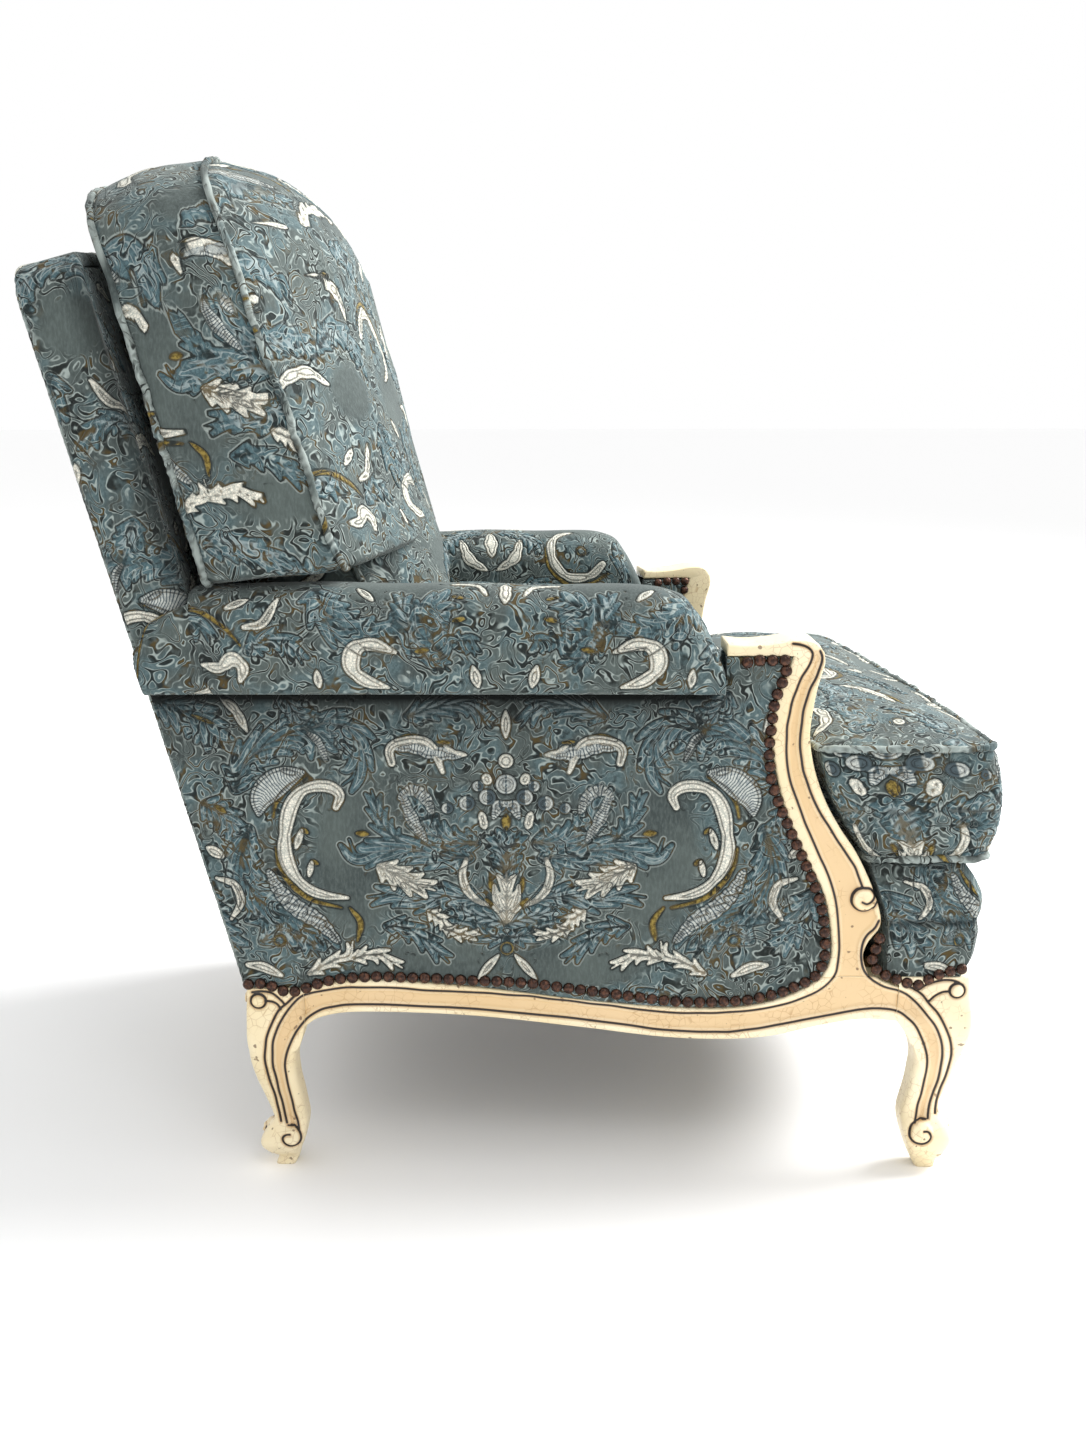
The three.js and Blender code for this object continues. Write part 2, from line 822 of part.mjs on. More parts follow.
function rearCornerBlock() {
  const railInner = rearRailLine - rearRailThickness - seam;
  return cornerBlock(rearBlock, railInner, rearCorner + rearBlock, 1);
}

function dustCover() {
  return slab(frameOpening(seam), dustThickness).translate(0, 0, dustLevel);
}

// Middles of so many equal stretches between two ends
function middles(count, low, high) {
  return Array.from({ length: count }, (_, i) => low + ((high - low) * (i + 0.5)) / count);
}

// Crossed straps under the springs, nailed to the inside of the rails
function seatWebbing() {
  const depth = frontLine + rearRailLine;
  const middle = (rearRailLine - frontLine) / 2;
  const straps = middles(webColumns, -webSides, webSides).map((x) => rectangle(x, middle, webWidth, depth));
  const across = middles(webRows, webFront, webRear);
  const crossStraps = across.map((y) => rectangle(0, y, 2 * halfWidth, webWidth));
  const net = union([
    ...straps.map((strap) => slab(strap, webThickness)),
    ...crossStraps.map((strap) => slab(strap, webThickness).translate(0, 0, webLap)),
  ]);
  const opening = slab(frameOpening(seam), 2 * overrun).translate(0, 0, -overrun);
  return geometryOf(net.intersect(solid(opening))).translate(0, 0, webLevel);
}

// Hourglass coil that stands on the webbing
class CoilPath extends THREE.Curve {
  constructor(height) {
    super();
    this.height = height;
  }
  getPoint(t, target = new THREE.Vector3()) {
    const turn = 2 * Math.PI * springTurns * t;
    const radius = springWaist + (springRadius - springWaist) * (2 * t - 1) ** 2;
    return target.set(radius * Math.cos(turn), radius * Math.sin(turn), this.height * t);
  }
}

function spring() {
  const sides = 5;
  const stepsPerTurn = 8;
  const height = hessianLevel - seam - springLow - wire;
  const section = new THREE.Shape(
    Array.from({ length: sides }, (_, i) => {
      const turn = (2 * Math.PI * i) / sides;
      return new THREE.Vector2((wire / 2) * Math.cos(turn), (wire / 2) * Math.sin(turn));
    }),
  );
  return new THREE.ExtrudeGeometry(section, {
    extrudePath: new CoilPath(height),
    steps: stepsPerTurn * springTurns,
    bevelEnabled: false,
  }).translate(0, 0, springLow + wire / 2);
}

function hessian() {
  const rear = -backForward(hessianLevel, backDepth + 2 * seam);
  return levelPlate(rear, deckFront, innerFace + 2 * seam, hessianLevel, hessianThickness);
}

// Padded platform that the seat cushion lies on
function deckPad() {
  const level = deckTop - deckThickness;
  const rear = -backForward(level, backDepth + 2 * seam);
  return levelPlate(rear, deckFront, innerFace + 2 * seam, level, deckThickness);
}

// Stuffed roll over the front rail, bowed in plan as the rail is
function seatFrontRoll() {
  const steps = 12;
  const depth = frontRollFront - frontRollBack;
  const height = deckTop - railHigh - seam;
  const profile = frontRollShares.map(([along, up]) => [
    along,
    (frontRollBack + along * depth) * Math.cos(splay),
    railHigh + seam + up * height,
  ]);
  const rings = Array.from({ length: steps + 1 }, (_, i) => {
    const across = 1 - (2 * i) / steps;
    return profile.map(([along, forward, up]) => {
      const bowed = forward + frontBow * along * (1 - across ** 2);
      return new THREE.Vector3(across * halfAt(-forward, frontRollInset), -bowed, up);
    });
  });
  return loft(rings);
}

// A closed line through corners, each rounded by its own radius, with points along the edges between them
function roundedLoop(corners, cornerSteps, edgeSteps) {
  const ends = corners.map(({ x, y, round }, i) => {
    const corner = new THREE.Vector2(x, y);
    const before = corners.at(i - 1);
    const after = corners[(i + 1) % corners.length];
    const toward = (other) => {
      const way = new THREE.Vector2(other.x - x, other.y - y);
      return corner.clone().add(way.setLength(Math.min(round, way.length() / 2)));
    };
    return { corner, enter: toward(before), leave: toward(after) };
  });
  return ends.flatMap(({ corner, enter, leave }, i) => {
    const next = ends[(i + 1) % ends.length].enter;
    const bend = new THREE.QuadraticBezierCurve(enter, corner, leave).getPoints(cornerSteps);
    const along = (k) => leave.clone().lerp(next, (k + 1) / edgeSteps);
    const edge = Array.from({ length: edgeSteps - 1 }, (_, k) => along(k));
    return [...bend, ...edge];
  });
}

// Boxed cushion: shapeAt gives its outline at each level of the boxing, from 0 to 1, and the two ends of the
// ridge towards which its faces swell by their crowns. The boxing is drawn in between the seams.
function boxedCushion(shapeAt, low, high, lowCrown, highCrown) {
  const ring = (level, share, height) => {
    const { outline, ridge } = shapeAt(level);
    return outline.map((p) => {
      const root = THREE.MathUtils.clamp(p.y, Math.min(...ridge), Math.max(...ridge));
      return new THREE.Vector3(p.x * share, root + (p.y - root) * share, height);
    });
  };
  const swell = (share) => 1 - share ** crownPower;
  const rings = [
    ...[...ringShares].reverse().map((share) => ring(0, share, low - lowCrown * swell(share))),
    ring(0.5, drawnInShare, (low + high) / 2),
    ...ringShares.map((share) => ring(1, share, high + highCrown * swell(share))),
  ];
  const centre = (level) => shapeAt(level).ridge.reduce((sum, end) => sum + end / 2, 0);
  const firstPoint = new THREE.Vector3(0, centre(0), low - lowCrown);
  const lastPoint = new THREE.Vector3(0, centre(1), high + highCrown);
  return loft(rings, firstPoint, lastPoint);
}

// Corners of the right half, mirrored for the left half
function mirrored(corners) {
  return [...corners, ...corners.map((corner) => ({ ...corner, x: -corner.x })).reverse()];
}

// Seat cushion: between the arms, with ears in front of the posts
function seatCushion() {
  const shapeAt = (level) => {
    const height = seatBottom + level * boxingHeight;
    const rear = -backForward(height, backDepth) - looseGap;
    const notch = -(lineAt([...postOuterLine].reverse(), height) + postGap) * Math.cos(splay);
    const front = -seatFront * Math.cos(splay);
    const body = innerFace + looseGap;
    const corners = mirrored([
      { x: halfAt(rear, body), y: rear, round: seatFrontRound },
      { x: halfAt(notch, body), y: notch, round: earRound },
      { x: halfAt(notch, earInset), y: notch, round: earRound },
      { x: halfAt(front, earInset), y: front, round: seatFrontRound },
    ]);
    const outline = roundedLoop(corners, 4, 4).map((p) => {
      const ahead = Math.max(0, (p.y - notch) / (front - notch));
      const bow = frontBow * ahead * (1 - (p.x / halfAt(front, earInset)) ** 2);
      return new THREE.Vector2(p.x, p.y - bow);
    });
    return { outline, ridge: [(notch + front) / 2, (rear + notch) / 2] };
  };
  return boxedCushion(shapeAt, seatBottom, seatBottom + boxingHeight, 0, seatCrown);
}

// Back cushion: drawn in the plane of the back, with ears that lie on the arm rolls and an arched top
function backCushion() {
  const low = backDepth + seam + backRearCrown;
  const high = low + backBoxing;
  const upAt = (height, depth) => (height - rearLegHeight - depth * Math.sin(rake)) / Math.cos(rake);
  const shapeAt = (level) => {
    const depth = low + level * backBoxing;
    const foot = upAt(backCushionBottom, depth);
    const ear = upAt(rollTop + looseGap / 2 + level * earRise, depth);
    const body = rollWidth - rollOver + 2 * looseGap;
    const top = backCushionTop;
    const corners = mirrored([
      { x: backHalf(ear, body), y: foot, round: earRound },
      { x: backHalf(ear, body), y: ear, round: earRound / 2 },
      { x: backHalf(ear, earInset), y: ear, round: earRound },
      { x: backHalf(top, earInset), y: top, round: backCushionRound },
    ]);
    const outline = roundedLoop(corners, 5, 4).map((p) => {
      const ahead = Math.max(0, (p.y - ear) / (top - ear));
      const arch = backCushionArch * ahead * (1 - (p.x / backHalf(top, earInset)) ** 2);
      return new THREE.Vector2(p.x, p.y + arch);
    });
    return { outline, ridge: [ear, (ear + top) / 2] };
  };
  return boxedCushion(shapeAt, low, high, backRearCrown, backCrown).applyMatrix4(backPlane);
}

const finishes = {
  paint: { color: 0xe6d6ab, roughness: 0.45, metalness: 0 },
  timber: { color: 0xb08a5a, roughness: 0.75, metalness: 0 },
  damask: { color: 0x5f7880, roughness: 0.9, metalness: 0 },
  webbing: { color: 0x8d7a55, roughness: 0.95, metalness: 0 },
  hessian: { color: 0xa98f60, roughness: 0.95, metalness: 0 },
  lining: { color: 0x26282b, roughness: 0.95, metalness: 0 },
  steel: { color: 0x8c8f93, roughness: 0.4, metalness: 1 },
};

const chair = new THREE.Group();
const rightSide = new THREE.Group();
rightSide.scale.x = -1;
chair.add(rightSide);

function add(name, geometry, finish, group = chair) {
  const mesh = new THREE.Mesh(geometry, new THREE.MeshStandardMaterial(finishes[finish]));
  mesh.name = name;
  group.add(mesh);
  return mesh;
}

function addPair(name, geometry, finish) {
  add(name + "_left", geometry, finish);
  add(name + "_right", geometry, finish, rightSide);
}

addPair("front_leg", frontLeg(), "paint");
addPair("rear_leg", rearLeg(), "paint");
addPair("side_rail", sideRail(), "paint");
addPair("arm_post", armPost(), "paint");
add("front_rail", frontRail(), "paint");
add("rear_rail", rearRail(), "paint");

addPair("arm_rail", armRail(), "timber");
addPair("tacking_rail", tackingRail(), "timber");
addPair("back_stile", backStile(), "timber");
add("back_top_rail", backTopRail(), "timber");
add("back_lower_rail", backLowerRail(), "timber");
addPair("front_corner_block", frontCornerBlock(), "timber");
addPair("rear_corner_block", rearCornerBlock(), "timber");

add("dust_cover", dustCover(), "lining");
add("seat_webbing", seatWebbing(), "webbing");
add("back_webbing", backWebbing(), "webbing");
const coil = spring();
middles(springRows, webFront, webRear).forEach((y, row) =>
  middles(springRows, -webSides, webSides).forEach((x, column) => {
    add("seat_spring_" + (row * springRows + column + 1), coil, "steel").position.set(x, y, 0);
  }),
);
add("seat_hessian", hessian(), "hessian");
add("seat_deck", deckPad(), "damask");
add("seat_front_roll", seatFrontRoll(), "damask");

addPair("outer_arm_panel", outerSidePanel(), "damask");
addPair("inner_arm_panel", innerSidePanel(), "damask");
addPair("arm_roll", armRoll(), "damask");
add("outer_back_panel", outerBack(), "damask");
add("back_border", backBorder(), "damask");
add("back_pad", backPad(), "damask");

add("seat_cushion", seatCushion(), "damask");
add("back_cushion", backCushion(), "damask");

// The origin is on the floor in the middle of the chair's depth
const extent = new THREE.Box3().setFromObject(chair);
chair.position.y = -(extent.min.y + extent.max.y) / 2;

export default chair;
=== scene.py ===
# Bergere chair: the looks of its show wood, nails, damask and loose cushions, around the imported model.
import json
import math

import bpy
import numpy as np
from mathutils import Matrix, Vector


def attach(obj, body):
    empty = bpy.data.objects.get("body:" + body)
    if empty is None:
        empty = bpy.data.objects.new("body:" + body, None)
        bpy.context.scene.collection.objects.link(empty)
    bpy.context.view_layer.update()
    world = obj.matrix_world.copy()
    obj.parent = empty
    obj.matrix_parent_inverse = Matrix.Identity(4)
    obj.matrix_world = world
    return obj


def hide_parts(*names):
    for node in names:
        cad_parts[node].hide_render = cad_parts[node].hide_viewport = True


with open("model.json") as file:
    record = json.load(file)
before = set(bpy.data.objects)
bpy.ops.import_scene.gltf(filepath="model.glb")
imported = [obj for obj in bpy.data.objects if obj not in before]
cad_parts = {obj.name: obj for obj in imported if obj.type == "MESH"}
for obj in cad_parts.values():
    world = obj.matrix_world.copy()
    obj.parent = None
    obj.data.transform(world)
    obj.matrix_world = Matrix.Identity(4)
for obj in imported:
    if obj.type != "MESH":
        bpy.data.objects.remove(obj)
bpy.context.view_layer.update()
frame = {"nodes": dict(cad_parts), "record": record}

# Everything below is in millimetres until a mesh is made
MM = 0.001

# Whole chair
SPLAY = math.radians(3.62)
RAKE = math.radians(15.2)
HALF_WIDTH = 336.0
FRONT_CORNER = 508.0
REAR_CORNER = -205.0
FRONT_BLOCK = 63.0
REAR_BLOCK = 57.0
RAIL_LOW = 146.0
RAIL_DEPTH = 66.0
RAIL_THICKNESS = 32.0
FRONT_LEG_TOP = 212.0
REAR_LEG_TOP = 200.0
POST_THICKNESS = 57.0
POST_START = (266.0, 212.3)
POST_SIZE = (158.0, 337.7)
ROLL_BOTTOM = 498.0
ROLL_TOP = 600.0
INNER_FACE = 60.0
SEAM = 0.3
RAIL_START = REAR_CORNER + REAR_BLOCK + SEAM
RAIL_SPAN = FRONT_CORNER - FRONT_BLOCK - SEAM - RAIL_START
RIGHT, LEFT = -1, 1

# How far back the side plane's start lies, from the front foot's place
foot = next(m for m in frame["record"]["mounts"] if m["name"] == "front_foot_left")
FOOT_SHARES = (0.22, 0.54)
FOOT_IN = FRONT_BLOCK * sum(FOOT_SHARES) / 2
SHIFT = foot["pos_m"][1] / MM + FOOT_IN * math.sin(SPLAY) + (FRONT_CORNER - FOOT_IN) * math.cos(SPLAY)
REAR_LINE = -REAR_CORNER * math.cos(SPLAY)


def side_point(side, inset, forward, up):
    """A place in the side plane: in from the wood face, forward, and up."""
    inset, forward, up = np.broadcast_arrays(inset, forward, up)
    x = side * (HALF_WIDTH - inset * math.cos(SPLAY) + forward * math.sin(SPLAY))
    y = SHIFT - inset * math.sin(SPLAY) - forward * math.cos(SPLAY)
    return np.stack([x, y, up], -1)


def back_point(across, up, depth):
    """A place in the plane of the back: across, up the slope, and forward of its rear face."""
    across, up, depth = np.broadcast_arrays(across, up, depth)
    y = SHIFT + REAR_LINE + up * math.sin(RAKE) - depth * math.cos(RAKE)
    z = REAR_LEG_TOP + up * math.cos(RAKE) + depth * math.sin(RAKE)
    return np.stack([across, y, z], -1)


def half_at(y, inset):
    """Half of the chair's width at a place front to back, before the shift."""
    return HALF_WIDTH - inset / math.cos(SPLAY) - y * math.tan(SPLAY)


def back_half(up, inset):
    return half_at(REAR_LINE + up * math.sin(RAKE), inset)


def back_forward(up, depth):
    """Where a face of the back lies at a height, forward in the side plane."""
    return -REAR_LINE - (up - REAR_LEG_TOP) * math.tan(RAKE) + depth / math.cos(RAKE)


# Curves


def spline(a, b, c, d, t):
    """Places from b to c on a smooth curve that comes from a and goes on to d."""
    return 0.5 * (2 * b + (c - a) * t + (2 * a - 5 * b + 4 * c - d) * t**2 + (3 * b - a - 3 * c + d) * t**3)


def smooth_line(points, spacing=1.0):
    """A smooth line through points, at even steps."""
    p = np.array(points, float)
    p = np.vstack([2 * p[0] - p[1], p, 2 * p[-1] - p[-2]])
    t = np.linspace(0, 1, 24, endpoint=False)[:, None]
    bits = [spline(*four, t) for four in zip(p, p[1:], p[2:], p[3:])]
    return even(np.vstack([*bits, p[-2:-1]]), spacing=spacing)


def lengths(line):
    """How far along a line each of its points lies."""
    return np.concatenate([[0], np.cumsum(np.linalg.norm(np.diff(line, axis=0), axis=1))])


def even(line, count=None, spacing=1.0):
    """The same line, at even steps along its length."""
    line = np.asarray(line, float)
    run = lengths(line)
    count = count or max(2, int(round(run[-1] / spacing)) + 1)
    at = np.linspace(0, run[-1], count)
    return np.stack([np.interp(at, run, column) for column in line.T], -1)


def shares_line(shares, start, size):
    return smooth_line([(start[0] + a * size[0], start[1] + b * size[1]) for a, b in shares])


def both_halves(edge):
    """A line from one side to the middle, and on along its mirror image."""
    return np.vstack([edge, (edge * (-1, 1))[::-1][1:]])


def circle(middle, radius):
    a = np.linspace(0, 2 * np.pi, 48)
    return np.stack([middle[0] + radius * np.cos(a), middle[1] + radius * np.sin(a)], -1)


def sampled(fields, low, step, places):
    """Values of fields that share an even grid, at places between its points."""
    rows, columns = fields[0].shape
    x = np.clip((places[..., 0] - low[0]) / step, 0, columns - 1.001)
    y = np.clip((places[..., 1] - low[1]) / step, 0, rows - 1.001)
    i, j = x.astype(int), y.astype(int)
    u, v = x - i, y - j
    out = []
    for field in fields:
        below, above = (field[k, i] * (1 - u) + field[k, i + 1] * u for k in (j, j + 1))
        out.append(below * (1 - v) + above * v)
    return out


def ease(low, high, value):
    t = np.clip((value - low) / (high - low), 0, 1)
    return t * t * (3 - 2 * t)


# Meshes


def turned_out(points, faces):
    """The faces of closed forms, with their corners in the order that makes them look outward."""
    triangles = (points[f[:, [0, k, k + 1]]] for f in faces for k in range(1, f.shape[1] - 1))
    volume = sum((t[:, 0] * np.cross(t[:, 1], t[:, 2])).sum() for t in triangles)
    return [f[:, ::-1] for f in faces] if volume < 0 else faces


def add_mesh(name, points, faces, material, body, replaces=(), attributes=None):
    """A piece from points in millimetres and a list of face arrays."""
    points = np.asarray(points, float).reshape(-1, 3) * MM
    faces = turned_out(points, faces)
    mesh = bpy.data.meshes.new(name)
    mesh.vertices.add(len(points))
    mesh.vertices.foreach_set("co", points.astype(np.float32).ravel())
    loops = np.concatenate([f.ravel() for f in faces])
    sizes = np.concatenate([np.full(len(f), f.shape[1]) for f in faces])
    starts = np.concatenate([[0], np.cumsum(sizes)[:-1]])
    mesh.loops.add(len(loops))
    mesh.loops.foreach_set("vertex_index", loops.astype(np.int32))
    mesh.polygons.add(len(sizes))
    mesh.polygons.foreach_set("loop_start", starts.astype(np.int32))
    mesh.update(calc_edges=True)
    mesh.validate()
    mesh.polygons.foreach_set("use_smooth", np.ones(len(mesh.polygons), bool))
    for key, values in (attributes or {}).items():
        layer = mesh.attributes.new(key, "FLOAT", "POINT")
        layer.data.foreach_set("value", np.asarray(values, np.float32).ravel())
    mesh.materials.append(material)
    piece = bpy.data.objects.new(name, mesh)
    bpy.context.scene.collection.objects.link(piece)
    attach(piece, body)
    if replaces:
        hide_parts(*replaces)
    return piece


def grid_faces(rows, columns, closed=False, ring=False):
    """Quads over a grid of points; closed joins its end columns, and ring its end rows."""
    i = np.arange(rows if ring else rows - 1)[:, None] * columns
    j = np.arange(columns if closed else columns - 1)[None]
    i2, j2 = (i + columns) % (rows * columns), (j + 1) % columns
    return np.stack([i + j, i + j2, i2 + j2, i2 + j], -1).reshape(-1, 4)


def fan(loop, middle):
    loop = np.asarray(loop)
    return np.stack([loop, np.roll(loop, -1), np.full(len(loop), middle)], -1)


def skin_points(rings):
    """The points of rings, and after them the middles of the first ring and of the last."""
    return np.vstack([rings.reshape(-1, 3), rings[0].mean(0), rings[-1].mean(0)])


def skin_faces(rows, count):
    """Quads over closed rings, and a fan at each end round its middle."""
    ring = np.arange(count)
    ends = [fan(ring[::-1], rows * count), fan(ring + (rows - 1) * count, rows * count + 1)]
    return [grid_faces(rows, count, closed=True), *ends]


def loft_mesh(name, rings, material, body, replaces, attributes):
    """A closed skin over rings of points, its two ends filled from their middles."""
    rings = np.asarray(rings, float)
    values = {
        k: np.concatenate([np.ravel(v), [np.mean(v[0]), np.mean(v[-1])]])
        for k, v in attributes.items()
    }
    faces = skin_faces(*rings.shape[:2])
    return add_mesh(name, skin_points(rings), faces, material, body, replaces, values)


def closed_panel(name, front, push, material, body, replaces, attributes):
    """A grid of points with a rim pushed back by a vector and closed behind by strips."""
    rows, columns = front.shape[:2]
    index = np.arange(rows * columns).reshape(rows, columns)
    rim = np.concatenate([index[0], index[1:, -1], index[-1, -2::-1], index[-2:0:-1, 0]])
    points = front.reshape(-1, 3)
    back = np.full(len(points), -1)
    back[rim] = np.arange(len(rim)) + len(points)
    ring, back = back[rim], back.reshape(rows, columns)
    sides = np.stack([np.roll(rim, -1), rim, ring, np.roll(ring, -1)], -1)
    low, high = back[0], back[-1]
    strips = np.stack([low[2:-1], low[1:-2], high[1:-2], high[2:-1]], -1)
    first = np.concatenate([back[:, 0], [high[1]]])
    last = np.concatenate([back[::-1, -1], [low[-2]]])
    fans = [
        np.stack([np.full(len(edge) - 1, hub), edge[:-1], edge[1:]], -1)
        for hub, edge in ((low[1], first), (high[-2], last))
    ]
    values = {k: np.concatenate([np.ravel(v), np.ravel(v)[rim]]) for k, v in attributes.items()}
    points = np.vstack([points, points[rim] + push])
    faces = [grid_faces(rows, columns), sides, strips, *fans]
    return add_mesh(name, points, faces, material, body, replaces, values)


# Materials


class Nodes:
    """Short ways to lay out a material's nodes."""

    def __init__(self, name):
        self.material = bpy.data.materials.new(name)
        self.material.use_nodes = True
        self.tree = self.material.node_tree
        self.shader = self.tree.nodes["Principled BSDF"]

    def add(self, kind, **settings):
        """A node; a setting is one of its inputs where it has one by that name."""
        node = self.tree.nodes.new(kind)
        for key, value in settings.items():
            if key in node.inputs:
                self.plug(node.inputs[key], value)
            else:
                setattr(node, key, value)
        return node

    def plug(self, socket, value):
        if isinstance(value, bpy.types.NodeSocket):
            self.tree.links.new(value, socket)
        else:
            socket.default_value = value

    def finish(self, base, roughness, height=None, relief=0.0, strength=1.0, **others):
        """Sets up the shader: its colour, its roughness, its relief in metres and any other inputs."""
        self.plug(self.shader.inputs["Base Color"], base)
        self.plug(self.shader.inputs["Roughness"], roughness)
        for key, value in others.items():
            self.plug(self.shader.inputs[key.replace("_", " ")], value)
        if height:
            bump = self.add("ShaderNodeBump", Height=height, Distance=relief, Strength=strength)
            self.plug(self.shader.inputs["Normal"], bump.outputs[0])
        return self.material

    def attribute(self, name):
        return self.add("ShaderNodeAttribute", attribute_name=name).outputs["Fac"]

    def place(self):
        return self.add("ShaderNodeTexCoord").outputs["Object"]

    def math(self, operation, *values):
        node = self.add("ShaderNodeMath", operation=operation)
        for socket, value in zip(node.inputs, values):
            self.plug(socket, value)
        return node.outputs[0]

    def times(self, a, b):
        return self.math("MULTIPLY", a, b)

    def ramp(self, value, low, high, start=0.0, end=1.0):
        """A smooth step from start to end as the value goes from low to high."""
        node = self.add("ShaderNodeMapRange", interpolation_type="SMOOTHSTEP")
        for socket, item in zip(node.inputs, (value, low, high, start, end)):
            self.plug(socket, item)
        return node.outputs[0]

    def waves(self, value, length):
        """The cosine of a value, with a wave at each length."""
        return self.math("COSINE", self.times(value, 2 * math.pi / length))

    def mix(self, share, a, b):
        node = self.add("ShaderNodeMix", data_type="RGBA")
        for number, value in ((0, share), (6, a), (7, b)):
            self.plug(node.inputs[number], value)
        return node.outputs[2]

    def noise(self, scale, detail, rough=0.55, vector=None, twist=0.0):
        node = self.add("ShaderNodeTexNoise", Scale=scale, Detail=detail, Roughness=rough, Distortion=twist)
        self.plug(node.inputs["Vector"], vector or self.place())
        return node.outputs["Fac"]

    def cells(self, scale):
        """Distance to the nearest edge between cells."""
        node = self.add("ShaderNodeTexVoronoi", feature="DISTANCE_TO_EDGE", Scale=scale, Vector=self.place())
        return node.outputs["Distance"]

    def stretched(self, factors):
        return self.add("ShaderNodeMapping", Vector=self.place(), Scale=factors).outputs[0]


def colour(code):
    """A colour for a shader from its usual six digits."""
    parts = [int(code[i : i + 2], 16) / 255 for i in (0, 2, 4)]
    return tuple(c / 12.92 if c <= 0.04045 else ((c + 0.055) / 1.055) ** 2.4 for c in parts) + (1.0,)


def painted_wood():
    """Ivory paint, crazed and speckled, worn at its edges, with stain in its hollows and cut lines."""
    n = Nodes("painted_wood")
    groove, hollow, rim = (n.attribute(k) for k in ("groove", "hollow", "edge"))
    tone = n.noise(9.0, 4.0)
    fine = n.noise(75.0, 6.0, 0.7)
    base = n.mix(n.ramp(tone, 0.3, 0.7), colour("E4D2A8"), colour("F1E4C4"))
    base = n.mix(n.ramp(hollow, 0.4, 2.8, 0.0, 0.75), base, colour("D3AF7C"))
    cracks = n.times(n.ramp(n.cells(130.0), 0.0, 0.045, 1.0, 0.0), n.ramp(n.noise(30.0, 2.0), 0.4, 0.58))
    base = n.mix(n.times(cracks, 0.5), base, colour("A37844"))
    speck = n.ramp(n.noise(150.0, 1.0, 0.4), 0.72, 0.77)
    base = n.mix(n.times(speck, 0.75), base, colour("5E4126"))
    worn = n.times(n.ramp(rim, 0.0, 2.2, 1.0, 0.0), n.ramp(fine, 0.5, 0.66))
    base = n.mix(n.times(worn, 0.6), base, colour("8E6638"))
    base = n.mix(n.ramp(groove, 0.8, 3.6, 0.6, 0.0), base, colour("B08350"))
    base = n.mix(n.ramp(groove, 0.85, 1.5, 1.0, 0.0), base, colour("180D07"))
    height = n.math("SUBTRACT", n.times(fine, 0.3), n.times(cracks, 0.5))
    roughness = n.ramp(tone, 0.2, 0.8, 0.36, 0.5)
    return n.finish(base, roughness, height, 0.0006, 0.6, Coat_Weight=0.1, Coat_Roughness=0.3)


def plain_material(name, first, second, scale, roughness, stretch=(1, 1, 1), metallic=0.0, relief=0.0004):
    """Two tones in noise, with a fine relief of the same."""
    n = Nodes(name)
    tone = n.noise(scale, 5.0, 0.6, n.stretched(stretch))
    base = n.mix(n.ramp(tone, 0.35, 0.65), colour(first), colour(second))
    return n.finish(base, roughness, tone, relief, 0.7, Metallic=metallic)


def woven_material(name, first, second, thread):
    """Crossed threads, thread millimetres apart."""
    n = Nodes(name)
    scale = 0.31 / (thread * MM)
    waves = [
        n.add("ShaderNodeTexWave", bands_direction=way, Scale=scale, Distortion=0.6, Vector=n.place())
        for way in "XYZ"
    ]
    x, y, z = (wave.outputs["Fac"] for wave in waves)
    weave = n.math("MAXIMUM", n.math("MAXIMUM", x, y), z)
    share = n.times(weave, n.ramp(n.noise(40.0, 4.0), 0.3, 0.7, 0.5, 1.0))
    return n.finish(n.mix(share, colour(first), colour(second)), 0.9, weave, thread * MM * 0.4, 0.8)


# Bands of curling strokes in the noise's range, millimetres between a leaf's echoes and between a white's
# ribs, and how far from its edge each kind of motif has its cut line
CURL_BANDS = 5.5
ECHO_LENGTH, RIB_LENGTH = 3.2, 2.6
LEAF_CUT, CREAM_CUT, GOLD_CUT, CREAM_INNER_CUT = 0.6, 0.7, 0.6, -2.9


